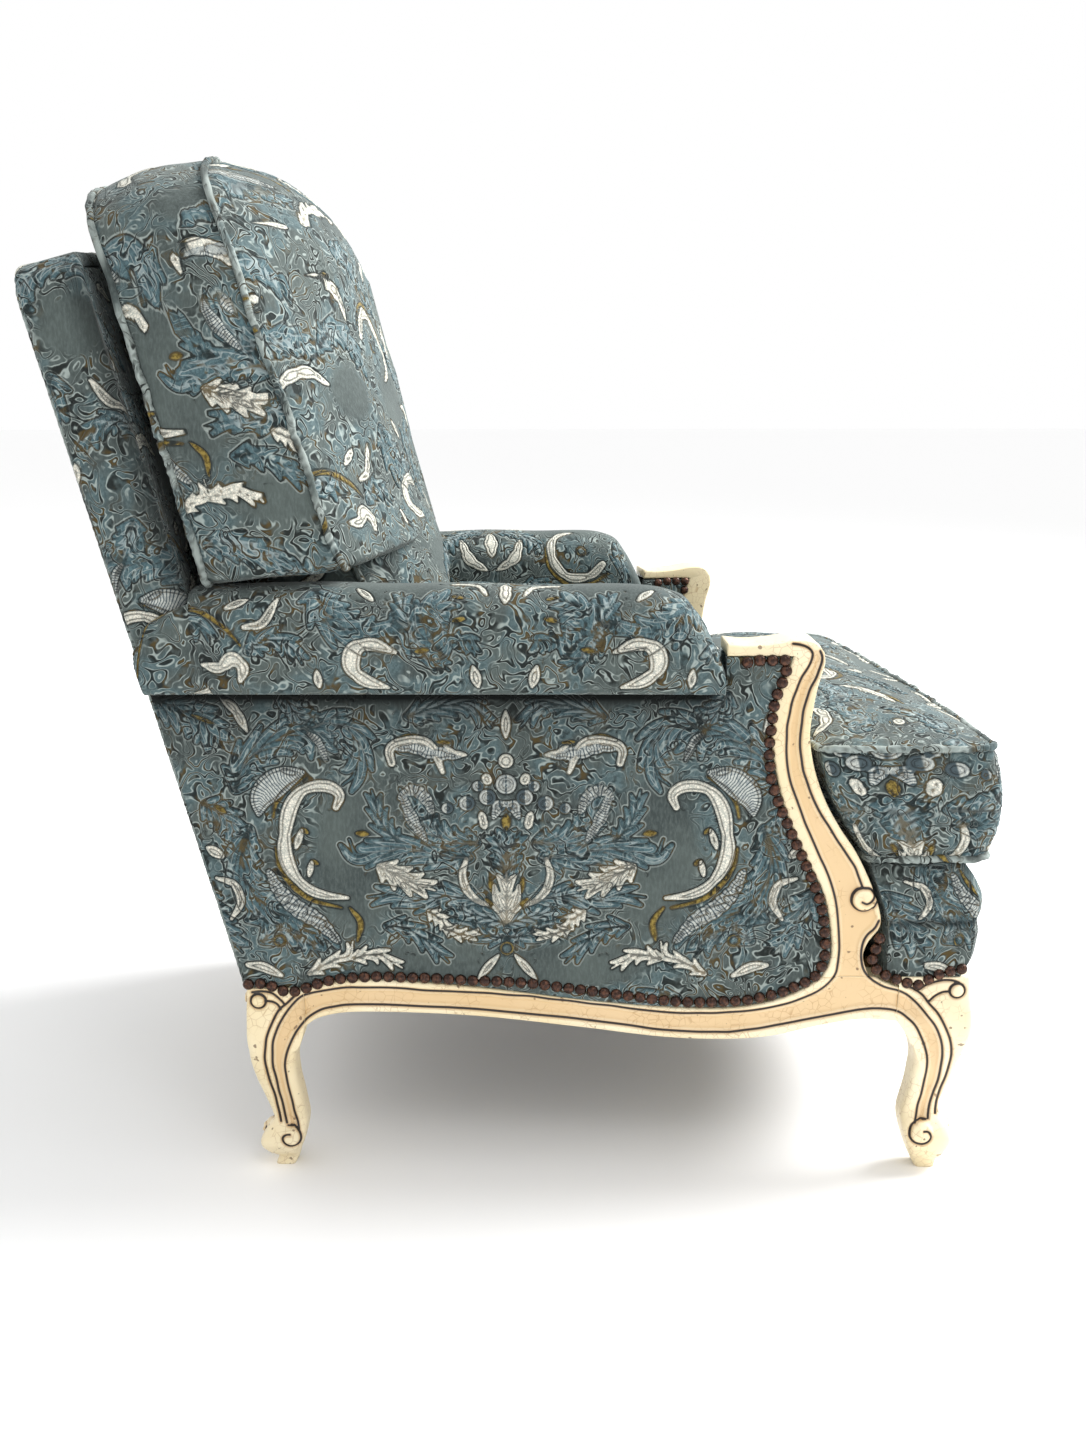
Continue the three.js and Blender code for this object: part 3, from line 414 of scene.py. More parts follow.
def damask():
    """Cut-velvet damask from the fields that its meshes carry: millimetres to a motif, below 0 inside it."""
    n = Nodes("damask")
    fields = ("leaf", "cream", "gold", "vein", "run", "dense")
    leaf, cream, gold, vein, run, dense = (n.attribute(key) for key in fields)
    drift = n.noise(14.0, 4.0)
    nap = n.noise(420.0, 3.0, 0.6, n.stretched((1.0, 1.0, 0.35)))
    thread = n.noise(260.0, 4.0, 0.7)

    def threads(low, high, dark, light):
        return n.mix(n.ramp(thread, low, high), colour(dark), colour(light))

    # Fine curling strokes that fill the cloth between and within its leaves, each with a painted highlight
    wave = n.waves(n.noise(46.0, 1.2, 0.35, twist=0.9), 1 / CURL_BANDS)
    broken = n.ramp(n.noise(64.0, 2.0), 0.4, 0.54, 0.25, 1.0)
    leafy = n.ramp(leaf, -0.6, 0.6, 1.0, 0.0)
    filled = n.times(n.math("MAXIMUM", dense, n.times(leafy, 0.45)), broken)
    groove = n.times(n.ramp(wave, -0.9, -0.35, 1.0, 0.0), filled)
    painted_lip_highlight = n.times(n.times(n.ramp(wave, -0.6, -0.2), n.ramp(wave, 0.0, 0.45, 1.0, 0.0)), filled)

    # The ground, and the leaves with their echoing ribs and pale halo, a highlight painted round their edges
    ground = n.mix(n.ramp(drift, 0.3, 0.72), colour("3A4241"), colour("4F5855"))
    ground = n.mix(n.ramp(nap, 0.35, 0.75, 0.0, 0.35), ground, colour("6B7674"))
    tinted = n.times(dense, n.ramp(n.noise(21.0, 2.0), 0.46, 0.6, 0.0, 0.75))
    ground = n.mix(tinted, ground, threads(0.35, 0.65, "3E5256", "5D7174"))
    echo = n.times(n.ramp(n.waves(leaf, ECHO_LENGTH), 0.4, 0.95), n.ramp(leaf, -1.6, -0.6, 0.8, 0.0))
    teal = n.mix(echo, threads(0.35, 0.65, "3A4F55", "556D72"), colour("8D9A9B"))
    base = n.mix(n.ramp(leaf, -0.4, 0.4, 1.0, 0.0), ground, teal)
    # Painted highlight: a pale band beside each curling stroke's groove
    base = n.mix(n.times(painted_lip_highlight, 0.65), base, colour("AAB5B0"))
    # Painted highlight: a pale band just outside each leaf's edge
    painted_halo_highlight = n.times(n.ramp(leaf, 0.9, 1.4), n.ramp(leaf, 1.8, 3.0, 1.0, 0.0))
    base = n.mix(n.times(painted_halo_highlight, 0.6), base, colour("ABB5B0"))
    base = n.mix(n.ramp(gold, -0.3, 0.4, 1.0, 0.0), base, threads(0.4, 0.6, "53451E", "89773C"))

    # The stitched whites, and the ribbed grey ones, whose run is below 0
    rib = n.ramp(n.waves(run, RIB_LENGTH), 0.1, 0.9)
    stitch = n.ramp(n.cells(340.0), 0.0, 0.16, 0.55, 0.0)
    white = n.mix(stitch, threads(0.34, 0.6, "B7B8AC", "E9E4D4"), colour("7F8A88"))
    white = n.mix(n.times(rib, 0.2), white, colour("848C8F"))
    grey = n.mix(rib, threads(0.35, 0.6, "8A9191", "BFC3BC"), colour("455257"))
    patterned = n.ramp(cream, -0.3, 0.4, 1.0, 0.0)
    base = n.mix(patterned, base, n.mix(n.ramp(run, -1.0, 1.0), grey, white))

    # The cut lines round and inside the motifs, and the strokes' grooves: dark thread, deepened by painted
    # shade
    cut = vein
    for field, line, away in (
        (leaf, LEAF_CUT, 0.0), (cream, CREAM_CUT, 0.0), (gold, GOLD_CUT, 0.0), (cream, CREAM_INNER_CUT, 0.32),
    ):
        off = n.math("ABSOLUTE", n.math("SUBTRACT", field, line))
        cut = n.math("MINIMUM", cut, n.math("ADD", off, away) if away else off)
    dark = n.times(n.ramp(cut, 0.3, 0.95, 1.0, 0.0), n.ramp(drift, 0.25, 0.65, 0.5, 0.9))
    groove = n.times(groove, n.math("SUBTRACT", 1.0, patterned))
    depth = n.mix(n.ramp(n.noise(38.0, 2.0), 0.5, 0.6), colour("131816"), colour("4C3D1A"))
    base = n.mix(n.math("MAXIMUM", dark, n.times(groove, 0.9)), base, depth)
    # Painted shade: the shade field darkens the cloth under the arm rolls, along seams, in the welts' twist
    # and beside the cushions
    base = n.mix(n.times(n.attribute("painted_shade"), 0.85), base, colour("0B0F0E"))

    height = n.math("ADD", n.times(nap, 0.25), n.times(thread, 0.35))
    inner = n.ramp(leaf, -1.8, 0.8, 1.0, 0.0)
    height = n.math("ADD", height, n.times(n.math("ADD", inner, echo), 0.6))
    height = n.math("SUBTRACT", height, n.times(n.ramp(cut, 0.2, 1.7, 1.0, 0.0), 1.7))
    height = n.math("SUBTRACT", height, n.times(groove, 1.5))
    sheen = {"Sheen_Weight": 0.25, "Sheen_Roughness": 0.4, "Sheen_Tint": colour("D2D8D6")}
    return n.finish(base, 0.85, height, 0.0009, Specular_IOR_Level=0.22, **sheen)


def nail_metal():
    n = Nodes("nail_metal")
    tone = n.noise(260.0, 3.0)
    base = n.mix(n.ramp(tone, 0.4, 0.7), colour("2A170F"), colour("5C3B2A"))
    return n.finish(base, n.ramp(tone, 0.3, 0.7, 0.2, 0.34), Metallic=0.5)


PAINT = painted_wood()
DAMASK = damask()
NAIL = nail_metal()
TIMBER = plain_material("bare_timber", "8F6A3F", "B98F5C", 22.0, 0.7, (6, 6, 0.6))
WEBBING = woven_material("jute_webbing", "5E4C2C", "A48B5A", 1.6)
HESSIAN = woven_material("hessian_cloth", "6F5A34", "B79C68", 1.2)
LINING = woven_material("black_lining", "0C0D0F", "22252A", 0.8)
STEEL = plain_material("spring_steel", "6C7075", "A9ADB2", 180.0, 0.38, metallic=1.0, relief=0.00005)


# Show wood: the carved lines, read forward and up in the side plane as the camera sees it

LEG_LINE = [
    (-157, 39), (-158, 48), (-161, 60), (-163, 73), (-166, 88), (-168, 102), (-169, 115), (-167, 128),
    (-163, 140), (-157, 153), (-149, 164), (-142, 171), (-130, 178), (-117, 181), (-102, 183), (-67, 183),
    (-27, 181), (-2, 180), (28, 178), (58, 175), (88, 172), (118, 169), (148, 165), (178, 161), (203, 157),
    (228, 155), (248, 154), (263, 154), (278, 154), (293, 156), (308, 158), (323, 161), (338, 164),
    (352, 167), (367, 170), (382, 173), (397, 176), (409, 178), (422, 179), (437, 178), (447, 175),
    (455, 169), (463, 161), (469, 150), (474, 137), (477, 124), (477, 111), (475, 97), (473, 83), (470, 70),
    (469, 59), (468, 49),
]
NAIL_SIDE_LINE = [
    (-169, 46), (-171, 59), (-173, 72), (-176, 85), (-178, 99), (-181, 114), (-181, 128), (-180, 143),
    (-175, 158), (-168, 171), (-160, 182), (-151, 191), (-141, 195), (-126, 198), (-106, 201), (-86, 201),
    (-66, 201), (-47, 200), (-27, 198), (-2, 197), (18, 196), (38, 195), (58, 193), (78, 192), (98, 189),
    (118, 187), (138, 184), (158, 182), (177, 179), (202, 176), (227, 174), (247, 174), (262, 174),
    (277, 175), (292, 176), (307, 178), (322, 181), (337, 185), (352, 191), (364, 197), (374, 205),
    (381, 215), (383, 225), (384, 241), (383, 257), (381, 276), (379, 289), (376, 301), (372, 313),
    (367, 325), (362, 335), (357, 346), (352, 357), (346, 370), (341, 383), (336, 396), (331, 409),
    (328, 420), (326, 432), (325, 444), (325, 456), (325, 467), (327, 479), (329, 491), (333, 503),
    (337, 514), (343, 524), (346, 531), (347, 537), (345, 541), (341, 544), (335, 546), (328, 547),
]
POST_FRONT_LINE = [
    (354, 540), (356, 535), (356, 530), (354, 523), (351, 514), (346, 504), (343, 494), (340, 482),
    (339, 470), (338, 459), (338, 447), (340, 434), (342, 423), (346, 412), (350, 401), (355, 390),
    (361, 379), (369, 367), (377, 354), (384, 344), (390, 335), (396, 326), (400, 316), (404, 306),
]
FRONT_LEG_LINE = [
    (422, 271), (418, 263), (411, 256), (407, 247), (406, 234), (409, 220), (417, 210), (430, 202),
    (444, 198), (454, 193), (465, 183), (475, 171), (484, 159), (490, 144), (492, 129), (491, 114),
    (489, 99), (485, 85), (482, 72), (481, 61), (481, 54),
]
# The outermost line and the leaf at the top of each leg
KNEE_LINES = [
    [
        (451, 204), (461, 199), (469, 193), (476, 184), (485, 174), (493, 160), (499, 145), (501, 130),
        (499, 115), (496, 102), (492, 90), (489, 77), (488, 67), (488, 60),
    ],
    [
        (-156, 193), (-164, 185), (-173, 177), (-180, 164), (-186, 149), (-188, 135), (-189, 122),
        (-187, 108), (-184, 94), (-180, 80), (-178, 68), (-176, 57), (-175, 48),
    ],
    [(-199, 196), (-189, 197), (-179, 195), (-170, 187), (-167, 183)],
    [(-186, 187), (-179, 186), (-174, 183), (-171, 178)],
    [(466, 200), (472, 204), (480, 207), (490, 209), (500, 208), (508, 204)],
    [(476, 187), (481, 192), (488, 196), (495, 197)],
]
SPIRALS = [
    [
        (404, 305), (399, 303), (395, 298), (394, 291), (397, 285), (403, 281), (410, 281), (416, 285),
        (419, 291),
    ],
    [(404, 305), (412, 304), (416, 298), (414, 292), (409, 289), (404, 291)],
    [
        (479, 53), (471, 52), (465, 47), (463, 39), (464, 32), (469, 26), (477, 24), (483, 27), (485, 33),
        (482, 39), (477, 40),
    ],
    [
        (-168, 43), (-161, 42), (-156, 36), (-155, 28), (-159, 21), (-166, 18), (-172, 21), (-174, 27),
        (-171, 32), (-166, 33),
    ],
]
# Middle and radius of each carved scroll, and of each round boss
SCROLLS = [((406, 293), 12.5), ((475, 38), 11.5), ((-163, 30), 10.5)]
BOSSES = [((-193, 187), 7.5), ((503, 198), 7.5)]


FIELD_EDGE = [smooth_line(p) for p in (LEG_LINE, NAIL_SIDE_LINE, POST_FRONT_LINE, FRONT_LEG_LINE)]
CARVED = [
    *FIELD_EDGE,
    *(smooth_line(p) for p in (*KNEE_LINES, *SPIRALS)),
    *(circle(*b) for b in BOSSES),
]
FIELD = np.vstack([FIELD_EDGE[1], FIELD_EDGE[2], FIELD_EDGE[3], FIELD_EDGE[0][::-1]])
EYE = (90.7, -1434.0, 773.1)


def seen(forward, inset, up):
    """Where a place off the side plane is seen on it."""
    share = EYE[1] / (EYE[1] - np.asarray(inset, float))
    return np.stack([EYE[0] + (forward - EYE[0]) * share, EYE[2] + (up - EYE[2]) * share], -1)


RELIEF_STEP, RELIEF_LOW, RELIEF_HIGH, RELIEF_FAR, RELIEF_CELL = 0.5, (-230.0, -30.0), (570.0, 600.0), 9.0, 16


def distance_field(lines):
    """Distance to the nearest of the lines, over the side plane."""
    xs = np.arange(RELIEF_LOW[0], RELIEF_HIGH[0], RELIEF_STEP)
    ys = np.arange(RELIEF_LOW[1], RELIEF_HIGH[1], RELIEF_STEP)
    field = np.full((len(ys), len(xs)), RELIEF_FAR, np.float32)
    for line in lines:
        line = even(line, spacing=0.6)
        for k in range(0, len(line), RELIEF_CELL):
            p = line[k : k + RELIEF_CELL]
            i0, j0 = np.maximum(((p.min(0) - RELIEF_FAR - RELIEF_LOW) / RELIEF_STEP).astype(int), 0)
            i1, j1 = ((p.max(0) + RELIEF_FAR - RELIEF_LOW) / RELIEF_STEP).astype(int) + 1
            part = field[j0:j1, i0:i1]
            d = np.hypot(xs[i0:i1][None, :, None] - p[:, 0], ys[j0:j1][:, None, None] - p[:, 1]).min(-1)
            np.minimum(part, d, out=part)
    return field, xs, ys


def within(outline, xs, ys):
    """Which places of a grid lie within a closed outline."""
    (x0, y0), (x1, y1) = outline.T, np.roll(outline, -1, 0).T
    found = np.zeros((len(ys), len(xs)), bool)
    for row, y in enumerate(ys):
        hit = (y0 > y) != (y1 > y)
        if hit.any():
            cross = np.sort(x0[hit] + (y - y0[hit]) * (x1[hit] - x0[hit]) / (y1[hit] - y0[hit]))
            found[row] = np.searchsorted(cross, xs) % 2 == 1
    return found


def draw_relief():
    """Depth of the carving and distance to its nearest cut line, over the side plane."""
    near, xs, ys = distance_field(CARVED)
    edge, _, _ = distance_field(FIELD_EDGE)
    x, y = np.meshgrid(xs, ys)
    depth = np.where(within(FIELD, xs, ys), 3.2 * ease(0, 6.0, edge), 0.0)
    for middle, radius in BOSSES:
        d = np.hypot(x - middle[0], y - middle[1]) / radius
        depth -= 2.6 * np.sqrt(np.clip(1 - d * d, 0, 1))
    for middle, radius in SCROLLS:
        d = np.hypot(x - middle[0], y - middle[1]) / radius
        depth = depth * ease(0.7, 1.25, d) - 2.4 * (1 - ease(0.8, 1.15, d)) - 1.8 * (1 - ease(0.0, 0.6, d))
    return depth + 2.2 * np.exp(-((near / 1.5) ** 2)), near


DEPTH, NEAR = draw_relief()


def carving(places):
    """Depth of the carving and distance to its nearest cut line, at places seen in the side plane."""
    return sampled((DEPTH, NEAR), RELIEF_LOW, RELIEF_STEP, places)


WOOD_STEP, WOOD_ROUND = 1.5, 3.0


def carved(name, points, node, values):
    return loft_mesh(name, points, PAINT, "chair_frame", [node], values)


def carved_slab(name, low_line, high_line, thickness, side, node):
    """Show wood ruled between two edges in the side plane, its outer face carved."""
    span = np.linalg.norm(high_line - low_line, axis=1)
    turn = np.linspace(0, np.pi / 2, 6)[1:-1]
    face = np.linspace(0, 1, int(span.max() / WOOD_STEP))
    rings, rims = [], []
    for low, high, width in zip(low_line, high_line, span):
        r = min(WOOD_ROUND, width * 0.3)
        rise, fall = r * (1 - np.sin(turn)), r * (1 - np.cos(turn))
        # Up the outer face and round its upper edge, then down the inner face and round its lower edge
        d = [r + face * (width - 2 * r), width - rise, [width] * 2, width - fall]
        i = [0 * face, fall, [r, thickness - r], thickness - rise]
        d = np.concatenate([*d, [width - r, r], rise, [0, 0], fall])
        i = np.concatenate([*i, [thickness] * 2, thickness - fall, [thickness - r, r], rise])
        rings.append(np.column_stack([low + d[:, None] * (high - low) / width, i]))
        rims.append(np.minimum(d, width - d))
    forward, up, inset = np.moveaxis(np.array(rings), -1, 0)
    depth, near = carving(seen(forward, inset, up))
    hollow = depth * ease(WOOD_ROUND, 0.0, inset)
    near = np.where(inset > 2 * WOOD_ROUND, RELIEF_FAR, near)
    values = {"groove": near, "hollow": hollow, "edge": np.array(rims) + inset}
    carved(name, side_point(side, inset + hollow, forward, up), node, values)


RAIL_BOTTOM = [
    (0, 0.2), (0.03, 0.36), (0.1, 0.44), (0.28, 0.38), (0.46, 0.2), (0.6, 0.04), (0.7, 0), (0.78, 0.04),
    (0.87, 0.22), (0.94, 0.32), (1, 0.29),
]
RAIL_TOP = [
    (0, 1 - 12 / 66), (0.06, 0.94), (0.13, 0.96), (0.28, 0.85), (0.5, 0.6), (0.68, 0.5), (0.77, 0.58),
    (0.83, 0.77), (0.87, 1),
]
RAIL_FRONT = [(0.96, 1), (0.98, 0.91), (1, 0.84)]
POST_INNER = [
    (0.645, 0), (0.695, 0.06), (0.685, 0.15), (0.63, 0.26), (0.5, 0.38), (0.37, 0.52), (0.29, 0.68),
    (0.28, 0.75), (0.32, 0.855), (0.4, 0.955),
]
POST_OUTER = [
    (0.94, 0), (0.9, 0.06), (0.925, 0.105), (1, 0.165), (0.95, 0.26), (0.84, 0.37), (0.72, 0.455),
    (0.63, 0.53), (0.56, 0.615), (0.52, 0.7), (0.52, 0.765), (0.55, 0.86), (0.59, 0.93), (0.585, 0.965),
]
POST_TOP = [(0.585, 0.965), (0.53, 0.995), (0.42, 1), (0.28, 0.99), (0.13, 0.985), (0, 0.99)]
FRONT_LEG = [
    (0, 0.22, 0.54), (0.04, 0.18, 0.61), (0.065, 0.12, 0.65), (0.12, 0.03, 0.72), (0.18, -0.01, 0.78),
    (0.235, 0.07, 0.81), (0.28, 0.17, 0.8), (0.33, 0.18, 0.77), (0.4, 0.12, 0.73), (0.48, 0.05, 0.7),
    (0.59, -0.06, 0.69), (0.7, -0.16, 0.82), (0.78, -0.18, 1), (0.88, -0.13, 1), (0.95, -0.05, 1),
    (1, 0, 1),
]
REAR_LEG = [
    (0, 0.35, 0.7), (0.04, 0.38, 0.77), (0.075, 0.24, 0.79), (0.135, 0.1, 0.88), (0.195, 0.2, 0.93),
    (0.245, 0.32, 0.94), (0.29, 0.3, 0.92), (0.38, 0.21, 0.88), (0.5, 0.08, 0.82), (0.62, -0.01, 0.82),
    (0.73, -0.04, 0.95), (0.8, -0.03, 1), (1, 0, 1),
]
RAIL_ROWS, POST_ROWS, TIP_ROWS = 430, 240, 50


def side_rail(side, name):
    bottom, top, front = (
        shares_line(table, (RAIL_START, RAIL_LOW), (RAIL_SPAN, RAIL_DEPTH))
        for table in (RAIL_BOTTOM, RAIL_TOP, RAIL_FRONT)
    )
    low, high = even(bottom, RAIL_ROWS), even(np.vstack([top, front]), RAIL_ROWS)
    carved_slab("rail_" + name, low, high, RAIL_THICKNESS, side, "side_rail_" + name)


def arm_post(side, name):
    inner, outer, top = (
        shares_line(table, POST_START, POST_SIZE) for table in (POST_INNER, POST_OUTER, POST_TOP)
    )
    tip = np.array([inner[-1], (POST_START[0], inner[-1][1])])
    low = np.vstack([even(inner, POST_ROWS), even(tip, TIP_ROWS)[1:]])
    high = np.vstack([even(outer, POST_ROWS), even(top, TIP_ROWS)[1:]])
    carved_slab("post_" + name, low, high, POST_THICKNESS, side, "arm_post_" + name)


KNEE_LEVEL, LEG_STEP, LEG_COLUMNS, TABLE_ROWS = 150.0, 1.1, 240, 400


def leg(side, name, tables, height, block, corner, inward, node, stretch):
    """Cabriole leg, carved alike on its two outer faces; stretch draws the carving out low down."""
    ups = np.linspace(0, 1, int(height / LEG_STEP))
    rows = np.linspace(0, TABLE_ROWS - 1, len(ups)).astype(int)
    edges = [smooth_table(table)[rows] for table in tables]
    (outer, inner), (outer_along, inner_along) = ((t[:, 1:2] * block, t[:, 2:] * block) for t in edges)
    # Round the section at an even pace: four sides of a square, drawn in to a soft-cornered one
    corner_at, pace = np.divmod(np.arange(LEG_COLUMNS) * 4 / LEG_COLUMNS, 1)
    pace, one = 2 * pace - 1, np.ones(LEG_COLUMNS)
    c = np.choose(corner_at.astype(int), (one, -pace, -one, pace))[None]
    s = np.choose(corner_at.astype(int), (pace, one, -pace, -one))[None]
    high = np.clip((ups[:, None] - 0.66) / 0.2, 0, 1)
    power = 4.5 + 7.7 * high + 60 * high * (c < 0) * (s > 0) + 60 * high * (c > 0) * (s < 0)
    draw = (np.abs(c) ** power + np.abs(s) ** power) ** (1 / power)
    bend_c, bend_s = c / draw, s / draw
    inset = (outer + inner) / 2 + (inner - outer) / 2 * bend_c
    along = (outer_along + inner_along) / 2 + (inner_along - outer_along) / 2 * bend_s
    # What stands proud of the block fades out towards the inner edges of its faces
    side_weight = ease(inner_along - 5, inner_along - 30, along)
    front_weight = ease(inner - 5, inner - 30, inset)
    inset = np.where(inset < 0, inset * side_weight, inset)
    along = np.where(along < 0, along * front_weight, along)
    up = np.broadcast_to(ups[:, None] * height, inset.shape)
    out_side, out_front = (np.abs(np.clip(bend, -1, 0)) ** power for bend in (bend_c, bend_s))
    faces = []
    for ahead, off in ((along, inset), (inset - outer + outer_along, along)):
        places = seen(corner + inward * ahead, off, up)
        places[..., 1] -= stretch * np.clip(KNEE_LEVEL - places[..., 1], 0, None)
        faces.append(carving(places))
    (d_side, n_side), (d_front, n_front) = faces
    on_side = out_side >= out_front
    weight_side, weight_front = ease(0.06, 0.4, out_side), ease(0.06, 0.4, out_front)
    near = np.where(on_side, n_side + 8 * (1 - weight_side), n_front + 8 * (1 - weight_front))
    hollow = np.where(on_side, d_side * weight_side, d_front * weight_front)
    inset = inset + d_side * weight_side * on_side
    along = along + d_front * weight_front * ~on_side
    points = side_point(side, inset, corner + inward * along, up)
    values = {"groove": near, "hollow": hollow, "edge": np.full(near.shape, RELIEF_FAR)}
    carved(f"{node}_{name}_carved", points, f"{node}_{name}", values)


def smooth_table(table):
    """A leg's table at even levels, by cubics between its rows."""
    t = np.array(table, float)
    at = np.linspace(0, 1, TABLE_ROWS)
    fine = [at]
    for k in (1, 2):
        slope = np.gradient(t[:, k], t[:, 0])
        j = np.clip(np.searchsorted(t[:, 0], at, side="right") - 1, 0, len(t) - 2)
        h = t[j + 1, 0] - t[j, 0]
        x = (at - t[j, 0]) / h
        fine.append(
            (2 * x**3 - 3 * x**2 + 1) * t[j, k] + (x**3 - 2 * x**2 + x) * h * slope[j]
            + (-2 * x**3 + 3 * x**2) * t[j + 1, k] + (x**3 - x**2) * h * slope[j + 1]
        )
    return np.stack(fine, -1)


APRON = [
    (-1, 0.32), (-0.86, 0.42), (-0.6, 0.36), (-0.32, 0.12), (0, 0), (0.32, 0.12), (0.6, 0.36), (0.86, 0.42),
    (1, 0.32),
]
APRON_COLUMNS, APRON_ROWS, APRON_ROUND, APRON_FIELD = 300, 44, 3.0, 8.5


def cross_rail(name, node, line, block, high, thickness, bow, way):
    """Front or rear rail: a serpentine lower edge, a moulded line above it, and a bow in plan."""
    line_y = way * line
    half = half_at(line_y, block + SEAM)
    across = np.linspace(-1, 1, APRON_COLUMNS)
    bottom = shares_line(APRON, (0, RAIL_LOW), (half, RAIL_DEPTH))
    turn = np.linspace(0, np.pi / 2, 5)[1:-1]
    r, painted_lip_highlight = APRON_ROUND, 0.4
    rise, fall = r * (1 - np.sin(turn)), r * (1 - np.cos(turn))
    # Depth round the section: up the face, back along the top, down behind, and under the lower edge
    d = [np.zeros(APRON_ROWS), [painted_lip_highlight, thickness, thickness], thickness - fall, [thickness - r, r], rise]
    d = np.concatenate(d)
    on_face = d < 0.6
    rings, values = [], {"groove": [], "hollow": [], "edge": []}
    for a, base in zip(across, np.interp(across * half, *bottom.T)):
        height = high - base
        v = [np.linspace(r, height - painted_lip_highlight, APRON_ROWS), [height, height, r], rise, [0.0, 0.0], fall]
        v = np.concatenate(v)
        cut = np.minimum(np.abs(v - APRON_FIELD), np.abs(height - v - APRON_FIELD))
        field = (v > APRON_FIELD) & (v < height - APRON_FIELD)
        hollow = on_face * (2.2 * field * ease(0, 7, cut) + 1.6 * np.exp(-((cut / 1.5) ** 2)))
        x = a * np.where(d > 1, half_at(line_y - way * d, block + SEAM), half)
        y = line_y + way * bow * (1 - a * a) * (d < thickness * 0.6) - way * (d + hollow)
        rings.append(np.stack([x, y + SHIFT, base + v], -1))
        for key, value in zip(values, (np.where(on_face, cut, RELIEF_FAR), hollow, v + 4 * ~on_face)):
            values[key].append(value)
    carved(name, rings, node, {key: np.array(value) for key, value in values.items()})


NAIL_RADIUS, NAIL_PITCH, NAIL_RISE, NAIL_SUNK = 5.8, 12.0, 0.75, 0.6


def nails(name, line, side, inset=0.0, way=-1):
    """Domed nail heads at even steps along a line in the side plane; way is out (-1) or in (1)."""
    line = even(smooth_line(line))
    spots = even(line, int(round(lengths(line)[-1] / NAIL_PITCH)) + 1)
    outward = side_point(side, way, 0, 0) - side_point(side, 0, 0, 0)
    outward = outward / np.linalg.norm(outward)
    first = np.cross(outward, (0, 0, 1))
    first /= np.linalg.norm(first)
    rings, around = 6, 16
    a = (2 * np.pi * np.arange(around) / around)[None]
    t = (np.arange(rings) / rings * np.pi / 2)[:, None]
    dome = np.broadcast_arrays(np.cos(t) * np.cos(a), np.cos(t) * np.sin(a), NAIL_RISE * np.sin(t))
    dome = np.stack(dome, -1)
    unit = np.vstack([NAIL_RADIUS * dome.reshape(-1, 3), (0, 0, -NAIL_SUNK), (0, 0, NAIL_RISE * NAIL_RADIUS)])
    unit = unit @ np.stack([first, np.cross(outward, first), outward])
    points = np.vstack([side_point(side, inset, *spot) + unit for spot in spots])
    faces = [np.vstack([f + k * len(unit) for k in range(len(spots))]) for f in skin_faces(rings, around)]
    add_mesh(name, points, faces, NAIL, "chair_frame")


# Cloth: a symmetrical acanthus and scroll damask, drawn in its own millimetres on either side of a middle
# line. Each stroke gives the widths at its start, middle and end, how many lobes it has, and its line. Each
# leaf gives its width, how many lobes it has on each side, and its spine.

CREAM = [
    ((9, 15, 5), 4, [
        (-165, 387), (-161, 399), (-170, 407), (-185, 408), (-199, 402), (-209, 387), (-214, 367),
        (-216, 343), (-210, 323), (-196, 306), (-179, 298), (-156, 295),
    ]),
    ((3, 7, 3), 0, [(-199, 364), (-205, 346)]),
    ((3, 6, 3), 0, [(-190, 332), (-193, 318)]),
    ((5, 10, 4), 0, [(-257, 225), (-242, 223), (-224, 214)]),
    ((14, 14, 14), 0, [(0, 433), (0.5, 433)]),
    ((9, 9, 9), 0, [(-19, 416), (-18, 414)]),
    ((5, 9, 6), 2, [(-24, 381), (-21, 367)]),
    ((3, 8, 3), 0, [(-2, 279), (-9, 291), (-12, 308)]),
    ((4, 8, 3), 0, [(-39, 335), (-43, 319), (-39, 304), (-29, 293), (-19, 288)]),
    ((7, 10, 4), 0, [(-110, 431), (-112, 443), (-105, 450), (-85, 453), (-71, 446), (-61, 422)]),
    ((3, 7, 3), 2, [(-59, 448), (-50, 441), (-38, 439)]),
    ((2, 8, 2), 0, [(-29, 210), (-19, 223), (-8, 236)]),
    ((3, 10, 3), 2, [(-273, 496), (-259, 483), (-248, 462)]),
    ((4, 10, 6), 0, [(-291, 346), (-278, 338)]),
    ((3, 8, 3), 0, [(-284, 315), (-267, 309), (-261, 291), (-271, 273)]),
    ((2, 9, 2), 0, [(0, 482), (0, 456)]),
    ((5, 17, 4), 3, [(-110, 549), (-131, 556), (-144, 569), (-141, 586), (-124, 591), (-102, 583)]),
    ((4, 13, 5), 2, [(0, 668), (0, 632)]),
    ((3, 7, 4), 3, [(-52, 665), (-28, 661), (-18, 642)]),
    ((4, 10, 3), 1, [(-30, 570), (-25, 549)]),
    ((4, 14, 6), 3, [(-284, 572), (-268, 569), (-256, 577), (-246, 569), (-249, 556)]),
    ((5, 9, 3), 0, [(-244, 607), (-226, 612), (-214, 638)]),
    ((4, 9, 3), 0, [(-262, 626), (-243, 637)]),
    ((3, 8, 3), 0, [(-140, 653), (-125, 635)]),
    ((3, 8, 3), 1, [(-177, 566), (-175, 549)]),
    ((4, 13, 4), 4, [(-318, 700), (-298, 716), (-270, 718), (-246, 702)]),
    ((9, 13, 4), 5, [(-150, 742), (-132, 762), (-104, 766), (-84, 748), (-80, 722), (-92, 702), (-112, 694)]),
    ((4, 15, 3), 3, [(-40, 712), (-30, 740), (-6, 756)]),
    ((5, 18, 3), 3, [(0, 700), (0, 722), (0, 738)]),
    ((4, 14, 4), 4, [(-230, 806), (-204, 800), (-182, 782), (-176, 760)]),
    ((12, 12, 12), 0, [(-300, 790), (-299, 790)]),
    ((4, 12, 3), 2, [(-60, 800), (-44, 816), (-20, 822)]),
]
